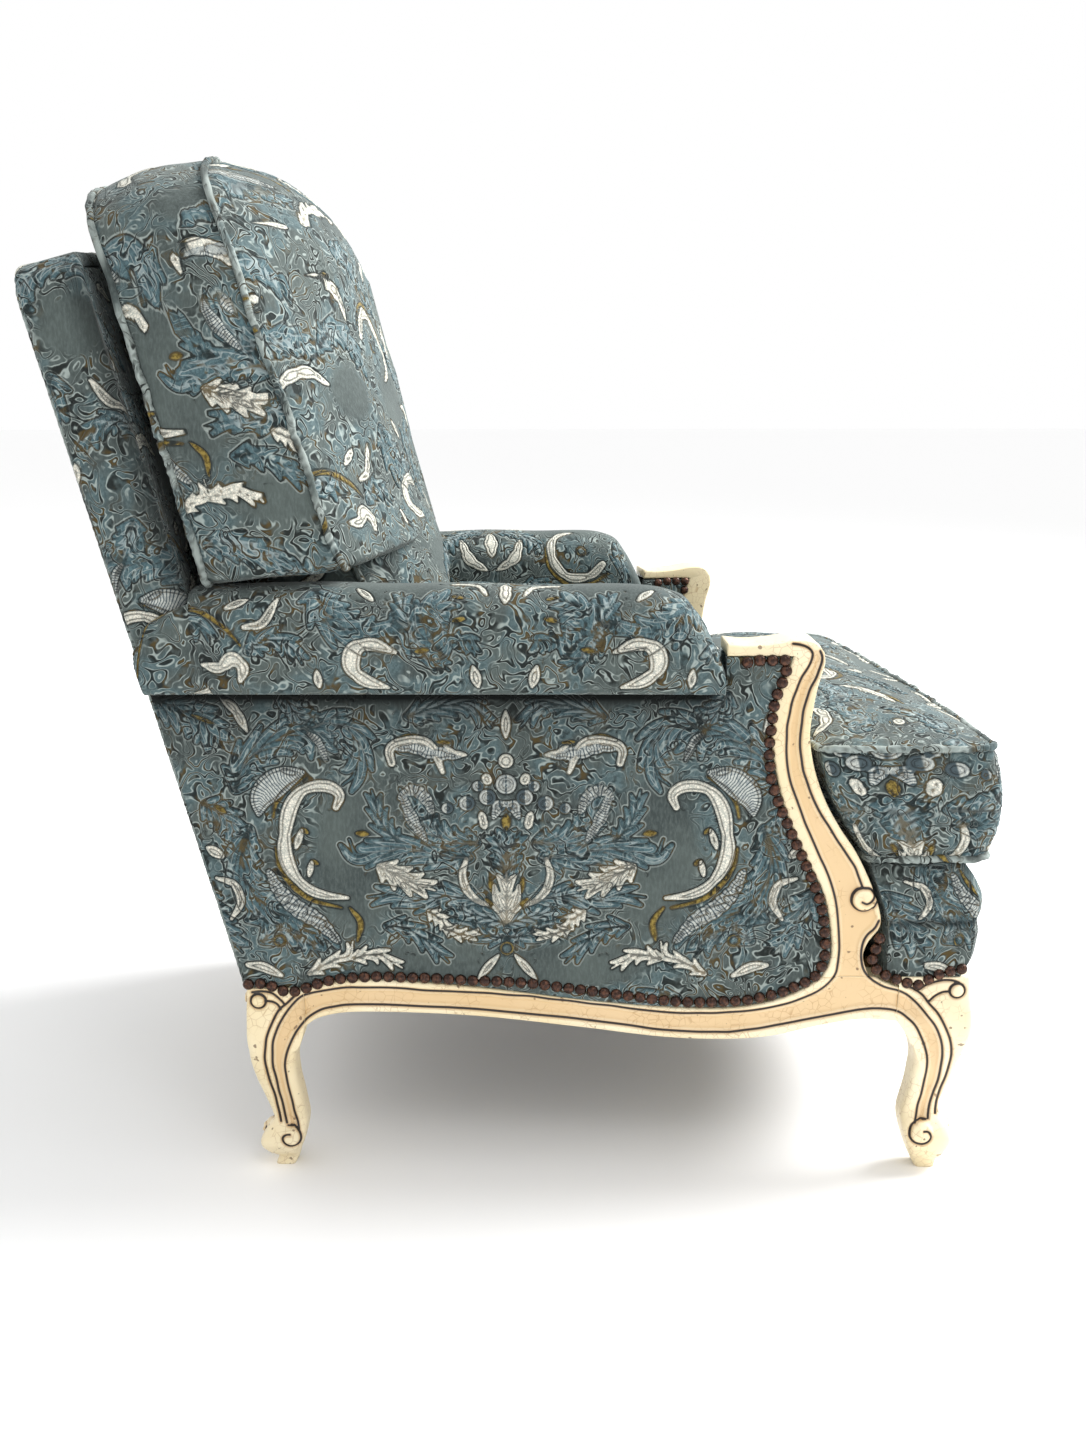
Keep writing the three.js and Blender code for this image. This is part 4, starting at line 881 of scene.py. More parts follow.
SHADED = [
    ((6, 15, 5), 5, [(-106, 446), (-88, 447), (-66, 441), (-44, 438)]),
    ((7, 17, 6), 9, [(-232, 322), (-222, 302), (-205, 284), (-185, 271), (-166, 250)]),
    ((5, 12, 5), 5, [(-103, 396), (-97, 402), (-88, 404), (-78, 396), (-72, 382)]),
    ((4, 27, 4), 0, [(-196, 422), (-218, 414), (-236, 398), (-240, 380)]),
    ((4, 9, 4), 0, [(-12, 377), (-7, 388), (0, 391)]),
    ((3, 12, 3), 3, [(-78, 353), (-92, 377), (-101, 402)]),
    ((3, 8, 3), 2, [(-190, 461), (-180, 452), (-173, 434)]),
]
GOLD = [
    ((2, 4, 2), 0, [(-194, 418), (-212, 405), (-222, 392), (-226, 377)]),
    ((2, 5, 2), 0, [(-225, 346), (-221, 326), (-210, 308), (-191, 293), (-162, 285)]),
    ((2, 6, 2), 0, [(-154, 285), (-144, 270), (-147, 251)]),
    ((3, 6, 2), 0, [(-145, 361), (-134, 360)]),
    ((3, 5, 2), 0, [(-198, 365), (-193, 361)]),
    ((3, 5, 2), 0, [(-190, 333), (-184, 330)]),
    ((3, 9, 2), 0, [(0, 365), (0, 380)]),
    ((2, 5, 3), 0, [(-14, 300), (-16, 315)]),
    ((2, 5, 3), 0, [(-8, 281), (-20, 294)]),
    ((2, 4, 2), 0, [(-126, 329), (-108, 323), (-92, 316)]),
    ((2, 4, 2), 0, [(-106, 454), (-92, 458), (-80, 456)]),
    ((2, 4, 2), 0, [(-66, 452), (-54, 451)]),
    ((2, 4, 2), 0, [(-215, 424), (-204, 421)]),
    ((2, 5, 2), 0, [(-72, 586), (-84, 584)]),
    ((2, 5, 2), 0, [(-350, 596), (-334, 617), (-312, 626), (-288, 623), (-262, 606), (-247, 589)]),
    ((3, 5, 3), 0, [(-48, 613), (-38, 615)]),
    ((3, 5, 3), 0, [(-50, 640), (-40, 637)]),
    ((2, 5, 2), 0, [(-157, 752), (-134, 772), (-101, 775), (-76, 752), (-71, 722)]),
    ((2, 5, 2), 0, [(-236, 814), (-206, 809), (-176, 788)]),
    ((2, 4, 2), 0, [(-300, 478), (-280, 470)]),
    ((3, 5, 2), 0, [(-281, 388), (-272, 382)]),
]
LEAVES = [
    (24, 6, [(-262, 404), (-252, 430), (-231, 448), (-208, 458), (-186, 455), (-172, 434)]),
    (22, 5, [(-196, 462), (-169, 470), (-148, 460), (-141, 441), (-146, 420), (-158, 409)]),
    (24, 8, [(-250, 366), (-258, 340), (-254, 310), (-237, 287), (-211, 271), (-184, 254), (-177, 238)]),
    (14, 3, [(-256, 272), (-237, 280), (-212, 272)]),
    (15, 4, [(0, 322), (-4, 342), (-14, 362)]),
    (18, 5, [(0, 316), (0, 342), (0, 366)]),
    (20, 6, [(-28, 351), (-54, 352), (-75, 364), (-86, 384), (-93, 410)]),
    (21, 6, [(-34, 336), (-64, 338), (-93, 345), (-121, 343), (-145, 339), (-153, 355)]),
    (18, 5, [(-26, 292), (-58, 297), (-88, 293), (-111, 298), (-136, 296)]),
    (14, 4, [(-105, 352), (-121, 371), (-130, 404)]),
    (16, 5, [(0, 268), (-19, 275), (-36, 279), (-56, 287)]),
    (15, 4, [(-2, 254), (-22, 257), (-39, 266), (-60, 263)]),
    (15, 4, [(-119, 266), (-100, 264), (-80, 251), (-58, 228)]),
    (26, 6, [(-338, 494), (-312, 484), (-290, 470), (-272, 446)]),
    (20, 5, [(-292, 390), (-270, 374), (-260, 352)]),
    (18, 5, [(-212, 498), (-198, 476), (-172, 462)]),
    (16, 5, [(-95, 476), (-65, 486), (-34, 488), (-14, 466)]),
    (18, 4, [(-242, 250), (-224, 262), (-200, 252), (-186, 234)]),
    (22, 5, [(-300, 300), (-282, 262), (-262, 238)]),
    (26, 5, [(-180, 650), (-171, 626), (-154, 608), (-130, 600), (-100, 600)]),
    (14, 3, [(-106, 620), (-96, 602), (-78, 583), (-52, 566)]),
    (25, 6, [(-58, 580), (-74, 603), (-68, 626), (-46, 642)]),
    (16, 4, [(-84, 596), (-95, 622), (-98, 648)]),
    (12, 3, [(-50, 592), (-34, 594), (-28, 580)]),
    (18, 5, [(-334, 568), (-338, 589), (-328, 604), (-309, 614), (-288, 610), (-276, 592)]),
    (16, 4, [(-242, 584), (-224, 595), (-202, 590), (-190, 572)]),
    (20, 5, [(-240, 740), (-216, 752), (-190, 746), (-172, 722), (-178, 700)]),
    (20, 6, [(-320, 742), (-292, 752), (-262, 744), (-244, 726)]),
    (17, 5, [(-10, 690), (-34, 696), (-54, 714), (-60, 738)]),
    (20, 5, [(-170, 830), (-140, 826), (-112, 808), (-100, 784)]),
    (16, 4, [(-40, 780), (-64, 776), (-86, 788), (-96, 812)]),
    (18, 5, [(-330, 836), (-300, 826), (-270, 806), (-262, 780)]),
]
DISCS = [
    ((0, 410), 9.5), ((-18, 397), 7.5), ((-38, 391), 7.0), ((-57, 386), 5.0), ((-7, 388), 6.0),
    ((-27, 408), 5.0),
]
WHITE_LEAVES = [
    (25, 4, [(-124, 327), (-108, 319), (-93, 311), (-70, 303)]),
    (24, 3, [(0, 272), (0, 290), (0, 320)]),
    (15, 3, [(-76, 281), (-64, 272), (-58, 262)]),
    (14, 3, [(-62, 264), (-42, 257), (-26, 258)]),
    (17, 3, [(-152, 232), (-128, 236), (-104, 222)]),
    (15, 3, [(-196, 216), (-176, 228), (-156, 236), (-152, 250)]),
]
RINGS = [((-224, 251), 5.5), ((0, 243), 6.0), ((-312, 568), 5.5), ((-120, 730), 6.0), ((-300, 790), 9.0)]

# Ellipses where the ground is left plain: middle and half sizes
OPEN_GROUND = [
    ((-146, 338), (44, 84)), ((-70, 226), (74, 24)), ((-74, 500), (44, 22)), ((-100, 668), (50, 40)),
    ((-214, 690), (34, 30)),
]

TILE_STEP = 0.8
TILE_LOW, TILE_HIGH = (-344.0, 196.0), (4.0, 848.0)
TILE_HALF, TILE_FOOT, TILE_TALL, TILE_CELL = 336.0, 204.0, 640.0, 20
FAR_OFF = 12.0
LEAF_SIZE = 1.45
STROKE_STEP, SPINE_STEP = 0.8, 1.2
WHITE_RUN = 9.1
# Small curls on the open ground: how many are tried, and how far from a motif they may lie
CURLS, CURLS_CLEAR = 420, (3.5, 9.5)


def stroke(widths, lobes, line):
    """Places and half-widths along a stroke whose width swells and whose edge may be lobed."""
    line = smooth_line(line, STROKE_STEP) if len(line) > 2 else even(line, spacing=STROKE_STEP)
    t = np.linspace(0, 1, len(line))
    a, b, c = widths
    width = np.where(t < 0.5, a + (b - a) * np.sin(np.pi * t), c + (b - c) * np.sin(np.pi * t))
    if lobes:
        width = width * (0.7 + 0.3 * np.abs(np.sin(np.pi * lobes * t)))
    return line, width / 2


def acanthus(width, lobes, line):
    """A curling leaf: its spine, and lobes that run along it and turn outward one after the other."""
    spine = smooth_line(line, SPINE_STEP)
    count = len(spine)
    along = np.gradient(spine, axis=0)
    along /= np.linalg.norm(along, axis=1)[:, None]
    turn = np.stack([-along[:, 1], along[:, 0]], -1)
    t = np.linspace(0, 1, count)
    parts = [(spine, width * 0.09 * (1 - t) + 0.9)]
    for k in range(lobes):
        for way in (-1, 1):
            tip = min((k + 0.72 + 0.14 * way) / lobes, 0.99)
            start = max(0.0, tip - 0.42)
            s = np.linspace(0, 1, max(8, int((tip - start) * count)))
            at = (start + (tip - start) * s) * (count - 1)
            place = np.stack([np.interp(at, np.arange(count), spine[:, i]) for i in (0, 1)], -1)
            out = np.stack([np.interp(at, np.arange(count), turn[:, i]) for i in (0, 1)], -1)
            reach = width * (0.24 + 0.3 * math.sin(math.pi * min(1, 0.2 + 0.72 * tip)))
            shift = way * (0.05 * width + (reach - 0.05 * width) * s**2.4)
            broad = min(0.17 * width, 0.6 * count * SPINE_STEP / lobes)
            size = broad * np.clip(np.sin(np.pi * (0.12 + 0.8 * s)), 0, 1) ** 0.7 + 0.3
            parts.append((place + shift[:, None] * out, size))
    return parts


def draw_tile():
    """The cloth's fields over half of its repeat: distances to motifs and lines, and the run along whites."""
    across = np.arange(TILE_LOW[0], TILE_HIGH[0], TILE_STEP)
    up = np.arange(TILE_LOW[1], TILE_HIGH[1], TILE_STEP)
    blank = np.full((len(up), len(across)), FAR_OFF, np.float32)
    fields = {k: blank.copy() for k in ("leaf", "cream", "gold", "vein")}
    fields["run"] = 0 * blank
    second = {k: fields[k].copy() for k in ("leaf", "cream")}

    def window(places, reach):
        low = ((places - reach).min(0) - FAR_OFF - TILE_LOW) / TILE_STEP
        high = ((places + reach).max(0) + FAR_OFF - TILE_LOW) / TILE_STEP
        (i0, j0), (i1, j1) = np.maximum(low.astype(int), 0), np.maximum(high.astype(int) + 1, 0)
        return (slice(j0, j1), slice(i0, i1)), across[i0:i1], up[j0:j1]

    def draw(field, places, reach, way=1):
        reach = np.broadcast_to(np.asarray(reach, float), len(places))
        for x0 in range(0, len(places), TILE_CELL):
            p, r = places[x0 : x0 + TILE_CELL], reach[x0 : x0 + TILE_CELL]
            part, xs, ys = window(p, r[:, None])
            if len(xs) and len(ys):
                d = np.hypot(xs[None, :, None] - p[:, 0], ys[:, None, None] - p[:, 1]) - r
                near = d.argmin(-1)
                d = d.min(-1)
                closer = d < fields[field][part]
                fields[field][part] = np.where(closer, d, fields[field][part])
                if field == "cream":
                    run = way * (x0 + near + 9) * STROKE_STEP
                    fields["run"][part] = np.where(closer, run, fields["run"][part])

    def draw_lobe(field, places, reach):
        part, xs, ys = window(places, reach[:, None])
        if not len(xs) or not len(ys):
            return
        d = np.full((len(ys), len(xs)), 1e3, np.float32)
        for p, r in zip(places, reach):
            np.minimum(d, np.sqrt((xs[None] - p[0]) ** 2 + (ys[:, None] - p[1]) ** 2) - r, out=d)
        best = fields[field][part]
        if field == "cream":
            fields["run"][part] = np.where(d < best, WHITE_RUN, fields["run"][part])
        second[field][part] = np.minimum(second[field][part], np.maximum(best, d))
        fields[field][part] = np.minimum(best, d)

    for width, lobes, line in LEAVES:
        for places, reach in acanthus(width * LEAF_SIZE, lobes, line):
            draw_lobe("leaf", places, reach)
    for width, lobes, line in WHITE_LEAVES:
        for places, reach in acanthus(width, lobes, line):
            draw_lobe("cream", places, reach)
    for key in ("leaf", "cream"):
        split = (second[key] - fields[key]) / 2
        fields["vein"] = np.minimum(fields["vein"], np.where(fields[key] < 0, split, FAR_OFF))
    for widths, lobes, line in SHADED:
        draw("cream", *stroke(widths, lobes, line), -1)
    for (x, y), radius in DISCS:
        draw("cream", np.array([(x - 0.4, y), (x + 0.4, y)]), radius, -1)
        draw("vein", circle((x, y), radius * 0.45), 0.0)
    for widths, lobes, line in CREAM:
        draw("cream", *stroke(widths, lobes, line))
    for widths, lobes, line in GOLD:
        draw("gold", *stroke(widths, lobes, line))
    for middle, radius in RINGS:
        draw("gold", circle(middle, radius), 0.9)
        draw("vein", circle(middle, radius + 2.2), 0.0)
    rng = np.random.default_rng(8)
    open_ground = np.minimum(np.minimum(fields["leaf"], fields["cream"]), fields["gold"])
    for _ in range(CURLS):
        x, y = rng.uniform(TILE_LOW, TILE_HIGH)
        i, j = int((x - TILE_LOW[0]) / TILE_STEP), int((y - TILE_LOW[1]) / TILE_STEP)
        turn = rng.uniform(0, 2 * np.pi)
        if not CURLS_CLEAR[0] <= open_ground[j, i] <= CURLS_CLEAR[1]:
            continue
        a = np.linspace(0, rng.uniform(1.2, 3.4), 9)
        size = rng.uniform(1.6, 3.2)
        draw("vein", np.stack([x + size * np.cos(turn + a), y + size * np.sin(turn + a)], -1), 0.0)
    return fields


TILE = draw_tile()


def cloth(across, up):
    """The cloth's distance fields at places on it: mirrored about its middle line, and repeated upwards."""
    across, up = np.broadcast_arrays(across, up)
    a = -np.abs((across + TILE_HALF) % (2 * TILE_HALF) - TILE_HALF)
    b = (up - TILE_FOOT) % TILE_TALL + TILE_FOOT
    out = dict(zip(TILE, sampled(list(TILE.values()), TILE_LOW, TILE_STEP, np.stack([a, b], -1))))
    plain = np.zeros(a.shape)
    for (x, y), (wide, tall) in OPEN_GROUND:
        plain = np.maximum(plain, ease(1.25, 0.75, np.hypot((a - x) / wide, (b - y) / tall)))
    return {**out, "dense": 1 - plain, "painted_shade": np.zeros(a.shape)}


def embossed(fields):
    """How far the pile stands up or is cut down, in millimetres."""
    leaf, cream = fields["leaf"], fields["cream"]
    cut = np.minimum(np.abs(leaf - LEAF_CUT), np.minimum(fields["vein"], np.abs(cream - CREAM_CUT)))
    raised = 0.7 * ease(1.0, -2.0, leaf) + 0.6 * ease(1.0, -1.5, cream)
    return raised - 0.9 * np.exp(-((cut / 1.1) ** 2)) + 0.25 * ease(0.5, -0.5, fields["gold"])


CLOTH_MIDDLE = 55.0


def noise3(points, scale, seed):
    """A soft bumpy value from crossed waves, the same at every run."""
    p = np.asarray(points, float) / scale
    rng = np.random.default_rng(seed)
    total = np.zeros(p.shape[:-1])
    for _ in range(9):
        way = rng.normal(size=3)
        total += np.sin(p @ way * 2.2 + rng.uniform(0, 6.28))
    return total / 4.0


# Fixed upholstery


def clothed(name, points, node, fields):
    loft_mesh(name, points, DAMASK, "chair_frame", [node], fields)


def normals_from(points, centre):
    """Unit normals over a grid of points, on the side away from a centre."""
    n = np.cross(np.gradient(points, axis=0), np.gradient(points, axis=1))
    n /= np.linalg.norm(n, axis=-1)[..., None] + 1e-9
    return n * np.sign((n * (points - centre)).sum(-1).mean())


def ruled_panel(name, low, high, side, inset, thickness, node, step):
    """Cloth over padding between two edges in the side plane; its back lies in or out by thickness."""
    rows = int(np.linalg.norm(high - low, axis=1).max() / step)
    t = np.linspace(0, 1, rows)[:, None, None]
    flat = low[None] * (1 - t) + high[None] * t
    fields = cloth(flat[..., 0] - CLOTH_MIDDLE, flat[..., 1])
    span = np.linalg.norm(high - low, axis=1)[None]
    start = (high[0] - low[0]) / span[0, 0]
    from_start = np.abs((flat - low[0]) @ (start[1], -start[0]))
    rim = np.minimum(np.minimum(t[..., 0], 1 - t[..., 0]) * span, from_start)
    swell = 1.6 * ease(0, 60, rim) - 2.0 * ease(9, 0, rim) + 0.7 * noise3(flat @ np.eye(2, 3), 90.0, 3)
    depth = inset - np.sign(thickness) * (swell + embossed(fields))
    # The arm roll's shadow
    below = np.maximum(ROLL_BOTTOM - 3 - flat[..., 1], 0)
    painted_shade = 0.6 * np.exp(-below / 6) + 0.7 * np.exp(-below / 34)
    fields["painted_shade"] = painted_shade * ease(ROLL_FRONT + 8, ROLL_FRONT - 20, flat[..., 0])
    points = side_point(side, depth, flat[..., 0], flat[..., 1])
    push = side_point(side, inset + thickness, 0, 0) - side_point(side, inset, 0, 0)
    closed_panel(name, points, push, DAMASK, "chair_frame", [node], fields)


def outer_panel(side, name, step):
    rail = shares_line(RAIL_TOP, (RAIL_START, RAIL_LOW), (RAIL_SPAN, RAIL_DEPTH))
    post = shares_line(POST_INNER, POST_START, POST_SIZE)
    rear_face, top = 0.6, ROLL_BOTTOM - SEAM
    start = (float(back_forward(REAR_LEG_TOP, rear_face)), REAR_LEG_TOP + 0.5)
    tip = post[-1] - (1.0, 1.2)
    low = np.vstack([[start], rail + (0, 0.6), post[8:-1] - (0.6, 0)])
    high = [(float(back_forward(top, rear_face)), top), (POST_START[0], top), (POST_START[0], tip[1]), tip]
    low, high = (even(line, int(900 / step)) for line in (low, high))
    ruled_panel("arm_side_" + name, low, high, side, 0.6, 11.0, "outer_arm_panel_" + name, step)


def inner_panel(side, name, step):
    post = shares_line(POST_INNER, POST_START, POST_SIZE)
    rear_face, low_level, top = 38.6 + 4 * SEAM, 300.7, ROLL_BOTTOM - SEAM
    post = post[(post[:, 1] > low_level + 1)][:-1] - (0.6, 0)
    tip = post[-1] - (1.0, 1.2)
    low = np.vstack([[(float(back_forward(low_level, rear_face)), low_level), (post[0, 0], low_level)], post])
    high = [(float(back_forward(top, rear_face)), top), (POST_START[0], top), (POST_START[0], tip[1]), tip]
    low, high = (even(line, int(820 / step)) for line in (low, high))
    ruled_panel("arm_lining_" + name, low, high, side, INNER_FACE, -13.0, "inner_arm_panel_" + name, step)


ROLL_SHARES = [
    (0, 0.45), (0.02, 0.62), (0.045, 0.77), (0.11, 0.94), (0.17, 1), (0.5, 1), (0.82, 1), (0.92, 0.93),
    (0.955, 0.75), (0.985, 0.46), (1, 0.25),
]
ROLL_FRONT, ROLL_WIDE, ROLL_OVER, ROLL_LEVEL, BACK_DEPTH = 264.0, 106.0, 18.0, 549.0, 61.9


def arm_roll(side, name, step):
    """Stuffed roll along an arm; beside the back only its outer side goes on."""
    rear, meet = (float(back_forward(ROLL_LEVEL, depth)) for depth in (0, BACK_DEPTH + 0.6))
    table = shares_line(ROLL_SHARES, (rear, 0), (ROLL_FRONT - rear, ROLL_TOP - ROLL_BOTTOM))
    table = even(table, int(610 / step))
    split, height = np.searchsorted(table[:, 0], meet), np.interp(meet, *table.T)
    table = np.vstack([table[:split], (meet - 0.2, height), (meet + 0.2, height), table[split:]])
    count = int(330 / step)
    turn = np.linspace(0, 2 * np.pi, 721)
    sine, cosine = np.sin(turn), np.cos(turn)
    power = np.where(sine < 0, 7.0, 2.3)
    bend_c, bend_s = (np.sign(wave) * np.abs(wave) ** (2 / power) for wave in (cosine, sine))
    places, cloth_at = [], []
    middle = ROLL_WIDE / 2 - ROLL_OVER
    for forward, height in table:
        loop = np.stack([middle - ROLL_WIDE / 2 * bend_c, ROLL_BOTTOM + height / 2 * (1 + bend_s)], -1)
        nose = ease(0.955, 1.0, (forward - rear) / (ROLL_FRONT - rear))
        loop[:, 0] = middle + (loop[:, 0] - middle) * (1 - 0.1 * nose)
        if forward < meet:
            loop = clipped(loop, -0.7)
        start = np.argmin(loop[:, 0] + 3 * np.abs(loop[:, 1] - ROLL_BOTTOM - 2))
        loop = np.roll(loop[:-1], -start, axis=0)
        loop = even(np.vstack([loop, loop[:1]]), count + 1)[:-1]
        if loop[count // 8, 1] < loop[-count // 8, 1] and forward >= meet:
            loop = np.roll(loop[::-1], 1, axis=0)
        run = lengths(loop)
        lean = ease(meet + 160, meet, forward)
        forwards = forward - (loop[:, 1] - ROLL_LEVEL) * math.tan(RAKE) * lean
        places.append(np.column_stack([loop, forwards]))
        # Beyond the roll's top the cloth runs back down to the seam under it
        run = np.where(run > 250, run - run[-1] - np.linalg.norm(loop[-1] - loop[0]), run)
        cloth_at.append(np.column_stack([forwards - CLOTH_MIDDLE, 538.0 + run]))
    inset, up, forward = np.moveaxis(np.array(places), -1, 0)
    fields = cloth(*np.moveaxis(np.array(cloth_at), -1, 0))
    points = side_point(side, inset, forward, up)
    normal = normals_from(points, side_point(side, middle, forward, (ROLL_TOP + ROLL_BOTTOM) / 2))
    free = np.maximum(ease(meet + 1, meet + 12, forward), ease(-1.0, -3.0, inset))
    lift = embossed(fields) + 1.3 * noise3(points, 75.0, 5) * ease(498, 520, up)
    clothed("arm_roll_cover_" + name, points + normal * (free * lift)[..., None], "arm_roll_" + name, fields)


def clipped(loop, limit):
    """The part of a section on the outer side of a limit, closed by a straight wall."""
    outer = loop[loop[:, 0] <= limit]
    level = (outer[:, 1].min() + outer[:, 1].max()) / 2
    outer = outer[np.argsort(-np.arctan2(outer[:, 1] - level, -(outer[:, 0] - limit - 1)))]
    wall = np.stack([np.full(12, limit), np.linspace(outer[-1, 1], outer[0, 1], 12)], -1)
    return np.vstack([outer, wall, outer[:1]])


# Boxed and padded forms


def rounded_loop(corners, counts, bend_count):
    """A closed line through corners (across, up, round), with set counts of points so that levels match."""
    c = np.array(corners, float)
    xy, radius = c[:, :2], c[:, 2]
    ways = (np.roll(xy, 1, 0) - xy, np.roll(xy, -1, 0) - xy)
    far = [np.linalg.norm(way, axis=1) for way in ways]
    shares = [(np.minimum(radius, size / 2) / size)[:, None] for size in far]
    enter, leave = (xy + way * share for way, share in zip(ways, shares))
    out = []
    t = np.linspace(0, 1, bend_count, endpoint=False)[:, None]
    for k in range(len(c)):
        out.append(enter[k] * (1 - t) ** 2 + 2 * xy[k] * t * (1 - t) + leave[k] * t * t)
        s = np.linspace(0, 1, counts[k], endpoint=False)[:, None]
        out.append(leave[k] * (1 - s) + enter[(k + 1) % len(c)] * s)
    return np.vstack(out)


def mirrored(corners):
    return corners + [(-x, y, r) for x, y, r in reversed(corners)]


SEAT_BOTTOM, BOXING, SEAT_CROWN, SEAT_FRONT, SEAT_BOW = 333.3, 110.0, 34.0, 531.0, 11.0
FRONT_BOW = 24.0


def seat_shape(level, step):
    height = SEAT_BOTTOM + level * BOXING
    rear = -float(back_forward(height, BACK_DEPTH)) - 3
    outer = shares_line(POST_OUTER, POST_START, POST_SIZE)
    notch = -(float(np.interp(height, outer[:, 1], outer[:, 0])) + 9) * math.cos(SPLAY)
    front = -SEAT_FRONT * math.cos(SPLAY)
    body, ear = INNER_FACE + 3, 5
    corners = mirrored([
        (half_at(rear, body), rear, 36), (half_at(notch, body), notch, 14), (half_at(notch, ear), notch, 14),
        (half_at(front, ear), front, 24),
    ])
    counts = [int(v / step) for v in (560, 30, 90, 620, 90, 30, 560, 430)]
    line = rounded_loop(corners, counts, max(3, int(24 / step)))
    ahead = np.clip((line[:, 1] - notch) / (front - notch), 0, None)
    line[:, 1] -= SEAT_BOW * ahead * (1 - (line[:, 0] / half_at(front, ear)) ** 2)
    return line, ((notch + front) / 2, (rear + notch) / 2)


BACK_LOW = BACK_DEPTH + SEAM + 22.0
BACK_BOXING, BACK_REAR_CROWN, BACK_CROWN, BACK_TOP, BACK_ARCHED = 122.0, 22.0, 112.0, 740.0, 58.0


def back_shape(level, step):
    depth = BACK_LOW + level * BACK_BOXING

    def up_at(height):
        return (height - REAR_LEG_TOP - depth * math.sin(RAKE)) / math.cos(RAKE)

    foot, ear = up_at(477.3), up_at(ROLL_TOP + 1.5 + level * 12)
    body = ROLL_WIDE - ROLL_OVER + 6
    corners = mirrored([
        (back_half(ear, body), foot, 14), (back_half(ear, body), ear, 7), (back_half(ear, 5), ear, 14),
        (back_half(BACK_TOP, 5), BACK_TOP, 118),
    ])
    counts = [int(v / step) for v in (100, 70, 180, 380, 180, 70, 100, 400)]
    line = rounded_loop(corners, counts, max(4, int(48 / step)))
    ahead = np.clip((line[:, 1] - ear) / (BACK_TOP - ear), 0, None)
    line[:, 1] += BACK_ARCHED * ahead * (1 - (line[:, 0] / back_half(BACK_TOP, 5)) ** 2)
    return line, (ear, ear + 0.73 * (BACK_TOP - ear))


def drawn_in(line, ridge, share, height):
    """A ring that is drawn in by a share of its size, towards a ridge between two levels, at a height."""
    root = np.clip(line[:, 1], min(ridge), max(ridge))
    up = root + (line[:, 1] - root) * share
    return np.column_stack([line[:, 0] * share, up, np.full(len(line), height)])


def boxed_rings(shape_at, low, high, low_crown, high_crown, power, puff, step, face_count, foot_count):
    """Rings of a boxed cushion, with the counts of its lower face, boxing and upper face."""

    def ring(level, share, height):
        return drawn_in(*shape_at(level, step), share, height)

    def swell(share):
        return 1 - share**power

    foot = np.linspace(0.03, 1, foot_count)
    face = np.linspace(1, 0.03, face_count)
    wall = np.linspace(0, 1, max(4, int((high - low) / step)) + 1)[1:-1]
    rings = [ring(0, s, low - low_crown * swell(s)) for s in foot]
    rings += [ring(w, 1 + puff * math.sin(math.pi * w), low + (high - low) * w) for w in wall]
    rings += [ring(1, s, high + high_crown * swell(s)) for s in face]
    return np.array(rings), (foot_count, len(wall), face_count)


def refined(grid, parts, counts, around):
    """A grid brought to more rows, part by part between its seams, and to more columns."""

    def cubic(values, at):
        i = np.clip(at.astype(int), 0, len(values) - 2)
        t = (at - i).reshape(-1, *[1] * (values.ndim - 1))
        p = np.concatenate([2 * values[:1] - values[1:2], values, 2 * values[-1:] - values[-2:-1]])
        return spline(p[i], p[i + 1], p[i + 2], p[i + 3], t)

    n = grid.shape[1]
    wrapped = np.concatenate([grid[:, -3:], grid, grid[:, :3]], 1).swapaxes(0, 1)
    wide = cubic(wrapped, 3 + np.arange(around) * n / around).swapaxes(0, 1)
    edges = [0, parts[0] - 1, parts[0] + parts[1], grid.shape[0] - 1]
    out = []
    for k, count in enumerate(counts):
        a, b = edges[k], edges[k + 1]
        piece = cubic(wide[a : b + 1], np.linspace(0, b - a, count + 1))
        out.append(piece if k == 0 else piece[1:])
    seams = (counts[0], counts[0] + counts[1])
    return np.concatenate(out), seams


SWELL_FRAMES, SWELL_PRESSURE = 20, 4.0


def swollen(grid, parts, cap, held_foot):
    """The form after its filling has pushed its cover out: a cloth simulation, held at its seams."""
    rows, columns = grid.shape[:2]
    points = skin_points(grid)
    faces = turned_out(points, skin_faces(rows, columns))
    mesh = bpy.data.meshes.new("swelling")
    mesh.from_pydata((points * MM).tolist(), [], [f for part in faces for f in part.tolist()])
    piece = bpy.data.objects.new("swelling", mesh)
    bpy.context.scene.collection.objects.link(piece)
    held = piece.vertex_groups.new(name="held")
    seam_rows = [parts[0] - 1, parts[0] + parts[1]]
    fixed = [r * columns + c for r in seam_rows for c in range(columns)]
    if held_foot:
        fixed += list(range((parts[0] - 1) * columns)) + [rows * columns]
    held.add(fixed, 1.0, "REPLACE")
    modifier = piece.modifiers.new("cover", "CLOTH")
    settings = modifier.settings
    settings.quality = 4
    settings.mass = 0.25
    settings.tension_stiffness = settings.compression_stiffness = 12
    settings.shear_stiffness = 6
    settings.bending_stiffness = 0.4
    settings.use_pressure = True
    settings.uniform_pressure_force = SWELL_PRESSURE
    settings.vertex_group_mass = "held"
    settings.effector_weights.gravity = 0
    modifier.point_cache.frame_start, modifier.point_cache.frame_end = 1, SWELL_FRAMES
    scene = bpy.context.scene
    for number in range(1, SWELL_FRAMES + 1):
        scene.frame_set(number)
    made = piece.evaluated_get(bpy.context.evaluated_depsgraph_get())
    place = np.empty(len(points) * 3, np.float32)
    made.data.vertices.foreach_get("co", place)
    scene.frame_set(1)
    bpy.data.objects.remove(piece)
    bpy.data.meshes.remove(mesh)
    move = place.reshape(-1, 3) / MM - points
    far = np.linalg.norm(move, axis=1)[:, None] + 1e-9
    move *= cap * np.tanh(far / cap) / far
    return (points + move)[: rows * columns].reshape(grid.shape)


